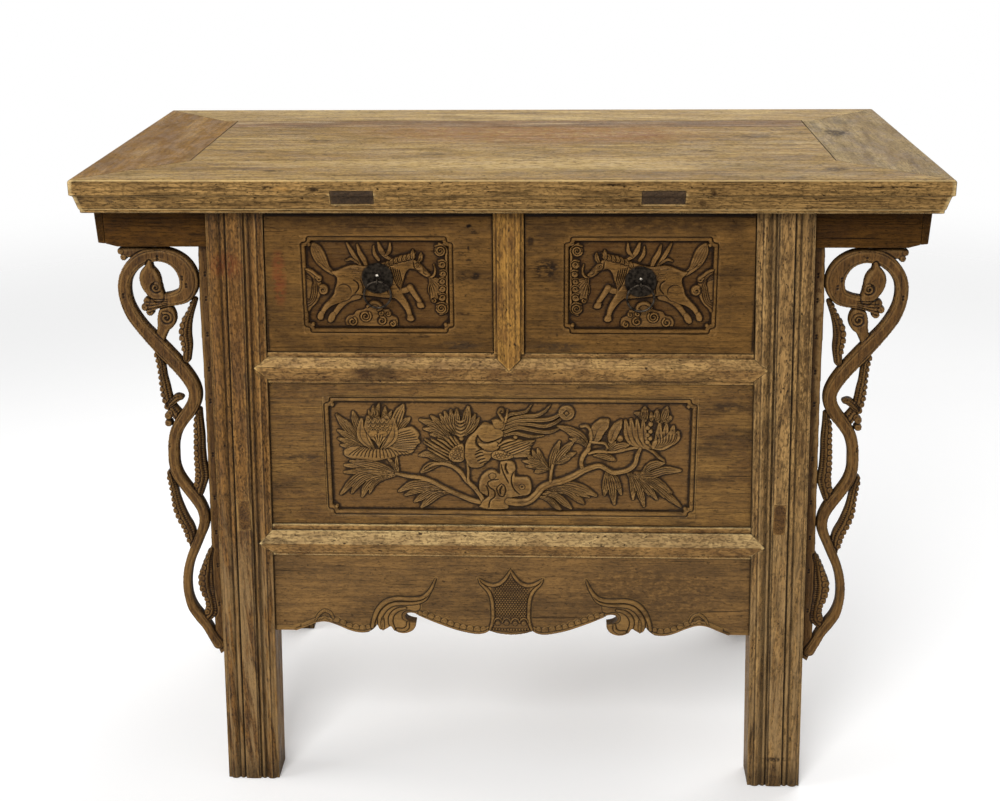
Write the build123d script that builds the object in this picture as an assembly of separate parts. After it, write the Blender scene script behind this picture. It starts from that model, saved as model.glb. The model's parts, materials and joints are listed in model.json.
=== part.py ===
"""Chinese altar coffer: a two-drawer side table with a hidden compartment under the drawers.

Frame: millimetres, +Z up, origin on the floor under the centre of the top, front towards -Y.
Every piece of joinery is a separate solid, exported as one STEP file per node.
"""

from build123d import *
import math
import os

# ---------------------------------------------------------------- driving dimensions
TOP_LENGTH = 1090.0
TOP_DEPTH = 545.0
TABLE_HEIGHT = 880.0
TOP_THICKNESS = 44.0
SIDE_RAIL_TOP_W = 125.0        # width of the front and end members of the top frame
BACK_RAIL_TOP_W = 106.0        # the back member is narrower
TOP_PANEL_T = 14.0
TOP_TONGUE_T = 6.0
TOP_TONGUE_L = 8.0
BACK_STRIP_W = 56.0            # narrow board that fills the back of the floating panel
TOP_BATTEN_W = 53.0
TOP_BATTEN_T = 26.0
TOP_BATTEN_TENON_T = 17.0

# moulding of the top's outer edge
ARRIS = 2.5
UPPER_BAND_H = 20.0
STEP_IN = 3.5
STEP_DROP = 1.5
EDGE_SLANT_IN = 8.0
FOOT_BEAD_H = 4.0
FOOT_BEAD_IN = 9.5

FRONT_OVERHANG = 34.0          # from the top's front edge to the face of the legs
BACK_OVERHANG = 10.0           # the back legs stand nearly flush, to go against a wall
LEG_W = 73.0
LEG_D = 52.0
BACK_LEG_W = 54.0              # the back legs are plain and more slender
BACK_LEG_D = 46.0
END_OVERHANG = 161.0           # from the top's end to the outer side of a leg, under the top
SPLAY = 25.0                   # each foot stands this much further out than the leg's top
LEG_TENON = 26.0
LEG_TENON_L = 24.0

# moulding across the face of a leg, as widths from its outer edge
LEG_STRIP_W = 4.0
LEG_REED_W = 12.0
LEG_QUIRK_W = 2.0
LEG_BEAD_W = 6.0
LEG_STRIP_SINK = 3.0
LEG_QUIRK_SINK = 3.5
LEG_BEAD_SINK = 1.2

DRAWER_SPACE_H = 191.5         # from the top's underside down to the middle rail
MIDDLE_RAIL_H = 42.0
CARVED_SPACE_H = 203.5         # between the middle and the lower rail
LOWER_RAIL_H = 45.5
RIDGE_FROM_TOP = 20.0          # height of the ridge below a middle rail's top edge
LOWER_RIDGE_FROM_TOP = 26.0
RAIL_UPPER_FILLET = 6.5
LOWER_RAIL_UPPER_FILLET = 8.0
RAIL_LOWER_FILLET = 5.5
RIDGE_PROUD = 1.5              # the ridge stands in front of the legs' face
FACET_SINK = 3.0
FILLET_SINK = 6.0
TIP_L = 17.0                   # pointed ends of the front rails lie on the legs
TIP_D = 9.0
RAIL_TENON_T = 14.0
RAIL_TENON_L = 30.0
RAIL_TENON_SHOULDER = 9.0
RAIL_TENON_SETBACK = 16.0
BACK_RAIL_SETBACK = 8.0

SIDE_RAIL_W = 34.0
SIDE_TOP_RAIL_H = 40.0
SIDE_LOWER_RAIL_DROP = 8.0     # its underside lies this far below the front rail's top edge
SIDE_LOWER_RAIL_H = 46.0
SIDE_TENON_T = 16.0
SIDE_TENON_SHOULDER = 1.3
SIDE_BLIND_TENON_L = 14.0
SIDE_BLIND_SHOULDER = 7.0

PANEL_GROOVE_D = 7.0
PANEL_TONGUE_L = 6.0
SIDE_PANEL_T = 10.0
BACK_PANEL_T = 10.0
BACK_PANEL_FROM_FACE = 24.0

POST_HALF_W = 19.5
POST_FACE_HALF_W = 14.7
POST_BEAD_SINK = 2.5
POST_TIP_L = 16.0
POST_TENON = 20.0

CARVED_PANEL_SETBACK = 10.0
CARVED_PANEL_T = 14.0
CARVED_TONGUE_T = 8.0
CARVED_BORDER_SIDE = 73.0      # plain margins outside the carved border
CARVED_BORDER_BELOW = 12.0
CARVED_BORDER_ABOVE = 19.5
CARVED_FRAME_W = 10.5
CARVED_GROUND_D = 5.0

APRON_SETBACK = 9.0
APRON_T = 17.0
APRON_TONGUE_T = 8.0

FLOOR_T = 12.0
FLOOR_BATTEN_W = 30.0
FLOOR_BATTEN_T = 22.0
FLOOR_BATTEN_X = 110.0
FLOOR_SEAM_Y = 30.0

DRAWER_SETBACK = 6.0
DRAWER_GAP = 1.0               # seen round a drawer front
DRAWER_RUN_CLEAR = 0.3         # between a drawer and its runners
DRAWER_SIDE_CLEAR = 2.0
DRAWER_FRONT_T = 22.0
DRAWER_SIDE_T = 11.0
DRAWER_BACK_T = 11.0
DRAWER_SIDE_H = 168.0
DRAWER_BACK_H = 150.0
DRAWER_BOTTOM_T = 7.0
DRAWER_BOTTOM_UP = 8.0
DRAWER_BOTTOM_TONGUE = 5.0
DRAWER_OUTER_CLEAR = 5.5       # between a drawer's outer side and a leg
DRAWER_STOP_GAP = 1.0
DOVETAIL_COUNT = 3
DOVETAIL_L = 14.0
DOVETAIL_FLARE = 3.0
CARVED_FIELD_BELOW = 25.0      # plain margins outside the carved border of a drawer front
CARVED_FIELD_ABOVE = 35.0
CARVED_FIELD_SIDE = 50.0
CARVED_FIELD_FRAME_W = 10.0
CARVED_FIELD_GROUND_D = 5.0
BORDER_LINE_W = 2.0
BORDER_LINE_D = 2.0
CORNER_NOTCH = 8.0

RUNNER_T = 18.5
RUNNER_UNDER_DRAWER = 16.0
CENTRE_RUNNER_HALF_W = 40.0
GUIDE_H = 20.0

LEFT_PULL_DOWN = 91.1          # the back plate's centre, below the top
RIGHT_PULL_DOWN = 94.8
PLATE_R = 20.0
PLATE_T = 1.2
PIN_BELOW_PLATE_CENTRE = 3.0
PIN_WIRE_R = 1.1
PIN_HOLE_R = 2.1
PIN_SHANK_HALF_H = 2.2
PIN_CLINCH_HALF_L = 14.0
PIN_CLINCH_T = 1.5
PIN_SLOT_CLEAR = 0.1
RING_R = 17.25
RING_WIRE_R = 1.5
RING_HANG = 0.3                # the ring rests this far below the eye's centre
PLATE_PAD_A = 30.0
PLATE_PAD_B = 23.0

OVERHANG_APRON_SETBACK = 12.0
OVERHANG_APRON_H = 52.0
OVERHANG_APRON_T = 24.0
OVERHANG_RISE = 4.0            # the lower edge lifts towards the end board
OVERHANG_RISE_L = 15.0
END_BOARD_SETBACK = 15.0
END_BOARD_T = 11.5
END_BOARD_TAPER = 2.5

SPANDREL_SETBACK = 20.0
SPANDREL_T = 14.0
SPANDREL_STILE_W = 16.0
SPANDREL_STILE_L = 578.0
SPANDREL_TAB_L = 8.0
SPANDREL_TAB_T = 9.0
SPANDREL_TAB_H = 40.0
SPANDREL_TABS_DOWN = (84.0, 284.0, 484.0)

# The scrolling stem of a spandrel, as (distance out from the leg's side, distance down from the
# spandrel's top, half width): from the curled leaf in the top volute, round it and down to the tip.
STEM = (
    (82, 82, 8), (64, 75, 8.5), (49.5, 72.5, 9.5), (36.5, 67, 11), (30.5, 55, 12.5), (31, 41, 13),
    (38.5, 27, 12), (52, 17, 10.5), (69, 13.5, 9.5), (87, 17, 9.5), (101.5, 27, 9), (112, 42, 8.5),
    (115.5, 59, 8.5), (113, 78, 8.5), (105.5, 96, 9), (94, 113, 9), (79.5, 130, 10),
    (63, 149, 10.5), (47.5, 167, 10), (35, 185, 9.5), (29, 200, 9), (30, 214, 9), (36.5, 227, 9),
    (47, 241, 8.5), (56.5, 257, 8), (61, 274, 7.5), (62, 291, 7.5), (61.5, 307, 7.5),
    (57, 322, 7.5), (47.5, 338, 7.5), (36, 354, 8), (27.5, 369, 7.5), (24, 383, 7.5),
    (25.5, 397, 7), (32, 414, 6.5), (39.5, 432, 6.5), (46.5, 450, 6), (51, 469, 6), (52.5, 488, 6),
    (51, 505, 6), (46, 522, 7), (36.5, 537, 7.5), (27, 551, 7), (19.5, 566, 7), (12, 579, 8),
)
# Leaves and buds that grow from the stem, in the same form.
BUD = (
    (79, 19, 7), (81.5, 34, 10), (81, 47, 15.5), (76.5, 58, 12), (70.5, 70, 9),
)
VOLUTE = (
    (62, 83, 7), (61.5, 99, 12.5), (67, 113, 8), (72.5, 129, 6),
)
CREST_LEAF = (
    (82, 10, 6), (98, 11, 8), (113, 10, 6.5),
)
INNER_LEAF_1 = (
    (24, 75, 4), (30.5, 92, 5), (36, 107, 7.5), (38, 122, 8.5), (36.5, 137, 7.5), (38, 156, 6),
)
OUTER_LEAF_1 = (
    (75, 144, 7), (72.5, 164, 6), (71, 180, 6), (69, 194, 7), (67, 208, 7.5), (63, 222, 8),
    (53.5, 236, 9),
)
LEAF_1_BARB = (
    (64, 220, 5), (54, 211, 6), (48, 210, 4),
)
INNER_LEAF_2 = (
    (24.5, 228, 4), (26, 244, 6.5), (25.5, 264, 7.5), (26, 284, 8), (25.5, 304, 8.5),
    (24, 322, 9.5), (27.5, 337, 8.5), (30, 348, 7),
)
OUTER_LEAF_2 = (
    (68, 320, 6), (64.5, 339, 6), (62, 356, 6.5), (58.5, 372, 8), (53, 387, 8.5), (46.5, 400, 8.5),
    (43, 414, 8), (41.5, 428, 6),
)
INNER_LEAF_3 = (
    (15.5, 432, 3.5), (20, 446, 5.5), (22.5, 462, 8.5), (25, 479, 11), (23.5, 496, 10.5),
    (20, 512, 8), (19.5, 528, 9), (26.5, 538, 8),
)

# Half of the apron's lower edge, as runs between cusps, from the leg to the middle:
# (distance from the middle, height above the plain edge at the leg).
APRON_H = 117.0
APRON_DRAWN_HALF_L = 329.0     # half length of apron that these points are drawn for
APRON_RUNS = (
    ((300, 0), (285, 6.5), (270, 13), (256, 14), (240, 8.5), (222, 0), (207, -2.5), (195, 0.5),
     (186.5, 10)),
    ((186.5, 10), (182.5, 4.5), (178, 1.5)),
    ((178, 1.5), (172, 5), (166.5, 8.5)),
    ((166.5, 8.5), (160, 0), (148, -2.5), (136, 2.5), (132, 13.5)),
    ((132, 13.5), (140, 15), (146.5, 20.5), (145, 26.5), (138, 28.5), (125, 24), (100, 12.5),
     (75, 3), (50, -2.5), (38, -1.5), (30, 2.5)),
    ((30, 2.5), (18, -1.5), (0, -3.5)),
)

# ---------------------------------------------------------------- worked-out planes
TOP_UNDER = TABLE_HEIGHT - TOP_THICKNESS
LEG_OUT_TOP = TOP_LENGTH / 2 - END_OVERHANG
LEG_OUT_FOOT = LEG_OUT_TOP + SPLAY
FACE_Y = FRONT_OVERHANG - TOP_DEPTH / 2
LEG_BACK_Y = FACE_Y + LEG_D
PANEL_UNDER = TABLE_HEIGHT - TOP_PANEL_T
INNER_X = TOP_LENGTH / 2 - SIDE_RAIL_TOP_W
INNER_FRONT_Y = -TOP_DEPTH / 2 + SIDE_RAIL_TOP_W
INNER_BACK_Y = TOP_DEPTH / 2 - BACK_RAIL_TOP_W
MIDDLE_RAIL_TOP = TOP_UNDER - DRAWER_SPACE_H
MIDDLE_RAIL_LOW = MIDDLE_RAIL_TOP - MIDDLE_RAIL_H
LOWER_RAIL_TOP = MIDDLE_RAIL_LOW - CARVED_SPACE_H
LOWER_RAIL_LOW = LOWER_RAIL_TOP - LOWER_RAIL_H
MIDDLE_RIDGE = MIDDLE_RAIL_TOP - RIDGE_FROM_TOP
LOWER_RIDGE = LOWER_RAIL_TOP - LOWER_RIDGE_FROM_TOP
APRON_EDGE_Z = LOWER_RAIL_LOW - APRON_H
SIDE_TOP_RAIL_Z = TOP_UNDER - SIDE_TOP_RAIL_H
SIDE_LOWER_RAIL_Z = LOWER_RAIL_TOP - SIDE_LOWER_RAIL_DROP
FLOOR_TOP = SIDE_LOWER_RAIL_Z
BACK_FACE_Y = TOP_DEPTH / 2 - BACK_OVERHANG
BACK_LEG_FRONT_Y = BACK_FACE_Y - BACK_LEG_D
BACK_PANEL_Y = BACK_FACE_Y - BACK_PANEL_FROM_FACE - BACK_PANEL_T
DRAWER_FACE_Y = FACE_Y + DRAWER_SETBACK
DRAWER_INNER_FACE_Y = DRAWER_FACE_Y + DRAWER_FRONT_T
DRAWER_BACK_Y = BACK_PANEL_Y - DRAWER_STOP_GAP
DRAWER_LOW = MIDDLE_RAIL_TOP + DRAWER_RUN_CLEAR
DRAWER_BOX_INNER = POST_HALF_W + DRAWER_SIDE_CLEAR
DRAWER_BOX_OUTER = LEG_OUT_TOP - LEG_W - DRAWER_OUTER_CLEAR
TOP_BATTEN_X = LEG_OUT_TOP / 2
OVERHANG_APRON_END = TOP_LENGTH / 2 - END_BOARD_SETBACK - END_BOARD_T
SPANDREL_TOP = TOP_UNDER - OVERHANG_APRON_H
PLATE_FRONT_Y = DRAWER_FACE_Y - PLATE_T
PIN_EYE_OUT = PIN_HOLE_R + 2 * PIN_WIRE_R
FAR = 10.0                     # cutters run this far past what they cut


def leg_outer(z):
    """Distance from the centre to the outer side of a leg at height z."""
    return LEG_OUT_TOP + (LEG_OUT_FOOT - LEG_OUT_TOP) * (TOP_UNDER - z) / TOP_UNDER


def leg_inner(z):
    """Distance from the centre to the inner side of a front leg at height z."""
    return leg_outer(z) - LEG_W


def back_leg_inner(z):
    """Distance from the centre to the inner side of a back leg at height z."""
    return leg_outer(z) - BACK_LEG_W


def block(x0, x1, y0, y1, z0, z1):
    """A box between two corners."""
    centre = Pos((x0 + x1) / 2, (y0 + y1) / 2, (z0 + z1) / 2)
    return centre * Box(abs(x1 - x0), abs(y1 - y0), abs(z1 - z0))


def slab(points, y0, y1):
    """An outline in the XZ plane, given depth along Y."""
    outline = Polyline(*[(x, y0, z) for x, z in points], close=True)
    return extrude(make_face(outline), amount=y1 - y0, dir=(0, 1, 0))


def bar(points, x0, x1):
    """An outline in the YZ plane, given length along X."""
    outline = Polyline(*[(x0, y, z) for y, z in points], close=True)
    return extrude(make_face(outline), amount=x1 - x0, dir=(1, 0, 0))


def mirrored_x(shape):
    """The same shape on the other side of the object."""
    return mirror(shape, about=Plane.YZ)


def save(shape, node):
    """Write one node's STEP file."""
    solids = shape.solids()
    export_step(solids[0] if len(solids) == 1 else Compound(children=solids), f"parts/{node}.step")
    print(node, len(solids), "solid(s)", round(sum(s.volume for s in solids)), "mm3")


# ---------------------------------------------------------------- the top
def edge_moulding():
    """The moulded outer edge, as (distance in from the edge, height) from the top face down."""
    band_low = TABLE_HEIGHT - UPPER_BAND_H
    return [
        (ARRIS, TABLE_HEIGHT),
        (0.0, TABLE_HEIGHT - ARRIS),
        (0.0, band_low),
        (STEP_IN, band_low - STEP_DROP),
        (EDGE_SLANT_IN, TOP_UNDER + FOOT_BEAD_H + STEP_DROP),
        (FOOT_BEAD_IN, TOP_UNDER + FOOT_BEAD_H),
        (FOOT_BEAD_IN, TOP_UNDER),
    ]


def moulded_plank(width, length):
    """A plank along X whose front edge, at y = 0, carries the moulding."""
    section = [(inward, z) for inward, z in edge_moulding()]
    section += [(width, TOP_UNDER), (width, TABLE_HEIGHT)]
    return bar(section, -length / 2, length / 2)


def tongue_slab(grow):
    """Space taken by the floating panel's tongue, grown sideways by the given amount."""
    low, high = PANEL_UNDER, PANEL_UNDER + TOP_TONGUE_T
    x = INNER_X + grow
    return block(-x, x, INNER_FRONT_Y - grow, INNER_BACK_Y + grow, low, high)


def plan_cut(points):
    """A prism over a plan outline, as tall as the top."""
    outline = Polyline(*[(x, y, TOP_UNDER - FAR) for x, y in points], close=True)
    return extrude(make_face(outline), amount=TOP_THICKNESS + 2 * FAR, dir=(0, 0, 1))


def batten_space(side):
    """The batten under the top with its tenons right through both long members."""
    x = side * TOP_BATTEN_X
    half = TOP_BATTEN_W / 2
    body = block(x - half, x + half, INNER_FRONT_Y, INNER_BACK_Y, PANEL_UNDER - TOP_BATTEN_T, PANEL_UNDER)
    reach = TOP_DEPTH / 2
    tenon = block(x - half, x + half, -reach, reach, PANEL_UNDER - TOP_BATTEN_TENON_T, PANEL_UNDER)
    return body, tenon


def top_plank_front():
    """Full front plank before its mitres are cut."""
    return Pos(0, -TOP_DEPTH / 2, 0) * moulded_plank(SIDE_RAIL_TOP_W, TOP_LENGTH)


def top_plank_back():
    """Full back plank before its mitres are cut."""
    return Pos(0, TOP_DEPTH / 2, 0) * (Rot(0, 0, 180) * moulded_plank(BACK_RAIL_TOP_W, TOP_LENGTH))


def top_plank_left():
    """Full left end plank before its mitres are cut."""
    return Pos(-TOP_LENGTH / 2, 0, 0) * (Rot(0, 0, -90) * moulded_plank(SIDE_RAIL_TOP_W, TOP_DEPTH))


def leg_centre_x(z):
    """Distance from the centre to the middle of a front leg at height z."""
    return leg_outer(z) - LEG_W / 2


def leg_tenon_space(side, at_front):
    """The tenon on top of a leg, which stands in the top frame."""
    x = side * (leg_outer(TOP_UNDER) - (LEG_W if at_front else BACK_LEG_W) / 2)
    y = FACE_Y + LEG_D / 2 if at_front else BACK_FACE_Y - BACK_LEG_D / 2
    half = LEG_TENON / 2
    return block(x - half, x + half, y - half, y + half, TOP_UNDER, TOP_UNDER + LEG_TENON_L)


def post_tenon_space(z0, z1):
    """A tenon at one end of the post between the drawers."""
    half = POST_TENON / 2
    y = FACE_Y + LEG_D / 2
    return block(-half, half, y - half, y + half, z0, z1)


def build_top():
    """Mitred frame, two floating boards and two battens."""
    half_l, half_d = TOP_LENGTH / 2, TOP_DEPTH / 2
    reach = half_l - BACK_RAIL_TOP_W
    groove = tongue_slab(TOP_TONGUE_L + 1.0)
    front = top_plank_front() & plan_cut([
        (-half_l, -half_d), (half_l, -half_d), (INNER_X, INNER_FRONT_Y), (-INNER_X, INNER_FRONT_Y)])
    back = top_plank_back() & plan_cut([
        (-half_l, half_d), (-reach, INNER_BACK_Y), (reach, INNER_BACK_Y), (half_l, half_d)])
    left = top_plank_left() & plan_cut([
        (-half_l, -half_d), (-INNER_X, INNER_FRONT_Y), (-INNER_X, INNER_BACK_Y),
        (-reach, INNER_BACK_Y), (-half_l, half_d)])
    front, back, left = front - groove, back - groove, left - groove

    battens = []
    for side in (-1, 1):
        body, tenon = batten_space(side)
        flush = (tenon & top_plank_front()) + (tenon & top_plank_back())
        battens.append(body + flush)
        front = front - tenon
        back = back - tenon
    for side in (-1, 1):
        front = front - leg_tenon_space(side, True)
        back = back - leg_tenon_space(side, False)
    front = front - post_tenon_space(TOP_UNDER, TOP_UNDER + POST_TENON)

    seam_y = INNER_BACK_Y - BACK_STRIP_W
    boards = block(-INNER_X, INNER_X, INNER_FRONT_Y, INNER_BACK_Y, PANEL_UNDER, TABLE_HEIGHT)
    boards = boards + tongue_slab(TOP_TONGUE_L)
    reach_x = TOP_LENGTH / 2
    ahead = block(-reach_x, reach_x, -half_d, seam_y, PANEL_UNDER - FAR, TABLE_HEIGHT + FAR)
    behind = block(-reach_x, reach_x, seam_y, half_d, PANEL_UNDER - FAR, TABLE_HEIGHT + FAR)

    save(front, "top_front_rail")
    save(back, "top_back_rail")
    save(left, "top_left_end_rail")
    save(mirrored_x(left), "top_right_end_rail")
    save(boards & ahead, "top_panel_wide_board")
    save(boards & behind, "top_panel_back_board")
    save(Compound(children=[b.solids()[0] for b in battens]), "top_battens")


# ---------------------------------------------------------------- front rails and the post
def ridge_section(z_top, z_low, z_ridge, upper_fillet):
    """Section of a front rail: two facets that meet in a ridge between two sunk fillets."""
    z_a, z_b = z_top - upper_fillet, z_low + RAIL_LOWER_FILLET
    return [
        (FACE_Y + FILLET_SINK, z_top), (FACE_Y + FILLET_SINK, z_a), (FACE_Y + FACET_SINK, z_a),
        (FACE_Y - RIDGE_PROUD, z_ridge), (FACE_Y + FACET_SINK, z_b), (FACE_Y + FILLET_SINK, z_b),
        (FACE_Y + FILLET_SINK, z_low), (LEG_BACK_Y, z_low), (LEG_BACK_Y, z_top),
    ]


def between_legs(z_low, z_top, y0, y1, grow=0.0, inner=leg_inner):
    """A trapezoid slab that fills the space between the splayed legs."""
    low, high = inner(z_low) + grow, inner(z_top) + grow
    return slab([(-low, z_low), (low, z_low), (high, z_top), (-high, z_top)], y0, y1)


def tip_prism(side, z_top, z_low, z_ridge, upper_fillet):
    """The pointed end of a front rail, which lies in a notch in the leg's face."""
    z_a, z_b = z_top - upper_fillet, z_low + RAIL_LOWER_FILLET
    tip = leg_inner(z_ridge) + TIP_L
    points = [(side * leg_inner(z_b), z_b), (side * tip, z_ridge), (side * leg_inner(z_a), z_a)]
    return slab(points, FACE_Y - FAR, FACE_Y + TIP_D)


def rail_tenon(side, z_low, z_top, y_face, inner=leg_inner):
    """A tenon of a front or back rail, in the side of a leg."""
    z0, z1 = z_low + RAIL_TENON_SHOULDER, z_top - RAIL_TENON_SHOULDER
    y0 = y_face
    near, far = inner(z0) - 2.0, inner(z1) + RAIL_TENON_L
    return block(side * near, side * far, y0, y0 + RAIL_TENON_T, z0, z1)


FRONT_RAILS = {
    "front_middle_rail": (MIDDLE_RAIL_TOP, MIDDLE_RAIL_LOW, MIDDLE_RIDGE, RAIL_UPPER_FILLET),
    "front_lower_rail": (LOWER_RAIL_TOP, LOWER_RAIL_LOW, LOWER_RIDGE, LOWER_RAIL_UPPER_FILLET),
}


def front_rail(z_top, z_low, z_ridge, upper_fillet):
    """A front rail with its pointed ends and tenons."""
    reach = leg_outer(z_low)
    prism = bar(ridge_section(z_top, z_low, z_ridge, upper_fillet), -reach, reach)
    rail = prism & between_legs(z_low, z_top, FACE_Y - FAR, LEG_BACK_Y)
    for side in (-1, 1):
        rail = rail + (prism & tip_prism(side, z_top, z_low, z_ridge, upper_fillet))
        rail = rail + rail_tenon(side, z_low, z_top, FACE_Y + RAIL_TENON_SETBACK)
    return rail


def post_tip():
    """The pointed foot of the post, which lies in a notch in the middle rail's face."""
    z_shoulder = MIDDLE_RAIL_TOP - RAIL_UPPER_FILLET
    half = POST_FACE_HALF_W
    points = [(-half, z_shoulder), (0.0, z_shoulder - POST_TIP_L), (half, z_shoulder)]
    points += [(half, MIDDLE_RAIL_TOP), (-half, MIDDLE_RAIL_TOP)]
    return slab(points, FACE_Y - RIDGE_PROUD, FACE_Y + TIP_D)


def divider_post():
    """The post between the drawers, with a bead down each side and a pointed foot."""
    back = LEG_BACK_Y
    face = FACE_Y - RIDGE_PROUD
    main = block(-POST_FACE_HALF_W, POST_FACE_HALF_W, face, back, MIDDLE_RAIL_TOP, TOP_UNDER)
    bead_y = face + POST_BEAD_SINK
    sides = block(-POST_HALF_W, POST_HALF_W, bead_y, back, MIDDLE_RAIL_TOP, TOP_UNDER)
    tenons = post_tenon_space(TOP_UNDER, TOP_UNDER + POST_TENON)
    tenons = tenons + post_tenon_space(MIDDLE_RAIL_TOP - POST_TENON, MIDDLE_RAIL_TOP)
    return main + sides + post_tip() + tenons


def carved_panel_tongue(grow):
    """The tongue round the carved panel, grown sideways by the given amount."""
    y1 = FACE_Y + CARVED_PANEL_SETBACK + CARVED_PANEL_T
    y0 = y1 - CARVED_TONGUE_T
    return between_legs(LOWER_RAIL_TOP - grow, MIDDLE_RAIL_LOW + grow, y0, y1, grow)


def notched_frame(half_l, low, high, inset, x_mid):
    """A rectangle with re-entrant corners, inset from a border's outer edge."""
    x0, x1 = x_mid - half_l + inset, x_mid + half_l - inset
    z0, z1 = low + inset, high - inset
    n = CORNER_NOTCH
    return [
        (x0 + n, z0), (x1 - n, z0), (x1 - n, z0 + n), (x1, z0 + n), (x1, z1 - n), (x1 - n, z1 - n),
        (x1 - n, z1), (x0 + n, z1), (x0 + n, z1 - n), (x0, z1 - n), (x0, z0 + n), (x0 + n, z0 + n),
    ]


def sunk_field(half_l, low, high, frame_w, x_mid, face_y, depth):
    """Cutter for a carved field: an incised border line and the sunk ground inside the frame."""
    outer = slab(notched_frame(half_l, low, high, 0.0, x_mid), face_y - FAR, face_y + BORDER_LINE_D)
    core = slab(notched_frame(half_l, low, high, BORDER_LINE_W, x_mid), face_y - 2 * FAR, face_y + FAR)
    ground = slab(notched_frame(half_l, low, high, frame_w, x_mid), face_y - FAR, face_y + depth)
    return (outer - core) + ground


def carved_panel():
    """The board that closes the front of the hidden compartment."""
    face_y = FACE_Y + CARVED_PANEL_SETBACK
    board = between_legs(LOWER_RAIL_TOP, MIDDLE_RAIL_LOW, face_y, face_y + CARVED_PANEL_T)
    board = board + carved_panel_tongue(PANEL_TONGUE_L)
    low, high = LOWER_RAIL_TOP + CARVED_BORDER_BELOW, MIDDLE_RAIL_LOW - CARVED_BORDER_ABOVE
    half_l = leg_inner((low + high) / 2) - CARVED_BORDER_SIDE
    return board - sunk_field(half_l, low, high, CARVED_FRAME_W, 0.0, face_y, CARVED_GROUND_D)


def apron_tongue(grow):
    """The tongue along the top and ends of the apron."""
    y0 = FACE_Y + APRON_SETBACK + (APRON_T - APRON_TONGUE_T)
    return between_legs(APRON_EDGE_Z, LOWER_RAIL_LOW + grow, y0, y0 + APRON_TONGUE_T, grow)


def apron_outline(side):
    """Half of the apron's lower edge, from beyond the leg's inner side to the middle."""
    spread = leg_inner(APRON_EDGE_Z) / APRON_DRAWN_HALF_L
    start = side * APRON_RUNS[0][0][0] * spread
    edges = [Line((side * leg_outer(APRON_EDGE_Z), 0, APRON_EDGE_Z), (start, 0, APRON_EDGE_Z))]
    for run in APRON_RUNS:
        edges.append(Spline(*[(side * x * spread, 0, APRON_EDGE_Z + rise) for x, rise in run]))
    return edges


def apron():
    """The shaped apron under the lower rail."""
    y0 = FACE_Y + APRON_SETBACK
    board = between_legs(APRON_EDGE_Z - FAR, LOWER_RAIL_LOW, y0, y0 + APRON_T)
    tongue_y = y0 + APRON_T - APRON_TONGUE_T
    grow = PANEL_TONGUE_L
    board = board + between_legs(APRON_EDGE_Z - FAR, LOWER_RAIL_LOW + grow, tongue_y, y0 + APRON_T, grow)
    edges = apron_outline(-1) + apron_outline(1)
    low = APRON_EDGE_Z - 4 * FAR
    reach = leg_outer(APRON_EDGE_Z)
    edges += [
        Line((-reach, 0, APRON_EDGE_Z), (-reach, 0, low)),
        Line((-reach, 0, low), (reach, 0, low)),
        Line((reach, 0, low), (reach, 0, APRON_EDGE_Z)),
    ]
    below = make_face(edges)
    cutter = extrude(Pos(0, y0 - FAR, 0) * below, amount=APRON_T + 2 * FAR, dir=(0, 1, 0))
    return board - cutter


def floor_groove():
    """Groove for the compartment floor along the lower rails."""
    reach = leg_inner(FLOOR_TOP)
    deep = PANEL_GROOVE_D
    return block(-reach, reach, LEG_BACK_Y - deep, BACK_LEG_FRONT_Y + deep, FLOOR_TOP - FLOOR_T, FLOOR_TOP)


def floor_batten(x):
    """A batten under the compartment floor."""
    z1 = FLOOR_TOP - FLOOR_T
    half = FLOOR_BATTEN_W / 2
    return block(x - half, x + half, LEG_BACK_Y, BACK_LEG_FRONT_Y, z1 - FLOOR_BATTEN_T, z1)


def build_front():
    """Front rails, the post, the carved panel and the apron."""
    groove = carved_panel_tongue(PANEL_GROOVE_D)
    for node, sizes in FRONT_RAILS.items():
        rail = front_rail(*sizes) - groove
        if node == "front_middle_rail":
            rail = rail - post_tip() - post_tenon_space(MIDDLE_RAIL_TOP - POST_TENON, MIDDLE_RAIL_TOP)
        else:
            rail = rail - floor_groove() - apron_tongue(PANEL_GROOVE_D)
        save(rail, node)
    save(divider_post(), "drawer_divider_post")
    save(carved_panel(), "front_carved_panel")
    save(apron(), "front_apron")


# ---------------------------------------------------------------- back of the case
def back_rail(z_low, z_top):
    """A plain back rail with its tenons."""
    outer_y = BACK_FACE_Y - BACK_RAIL_SETBACK
    rail = between_legs(z_low, z_top, BACK_LEG_FRONT_Y, outer_y, inner=back_leg_inner)
    for side in (-1, 1):
        tenon_y = BACK_FACE_Y - RAIL_TENON_SETBACK - RAIL_TENON_T
        rail = rail + rail_tenon(side, z_low, z_top, tenon_y, back_leg_inner)
    return rail


def back_panel(z_low, z_top, grow_low, grow_top, grow):
    """A plain back board in the grooves of the legs and rails."""
    y1 = BACK_PANEL_Y + BACK_PANEL_T
    return between_legs(z_low - grow_low, z_top + grow_top, BACK_PANEL_Y, y1, grow, back_leg_inner)


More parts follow.
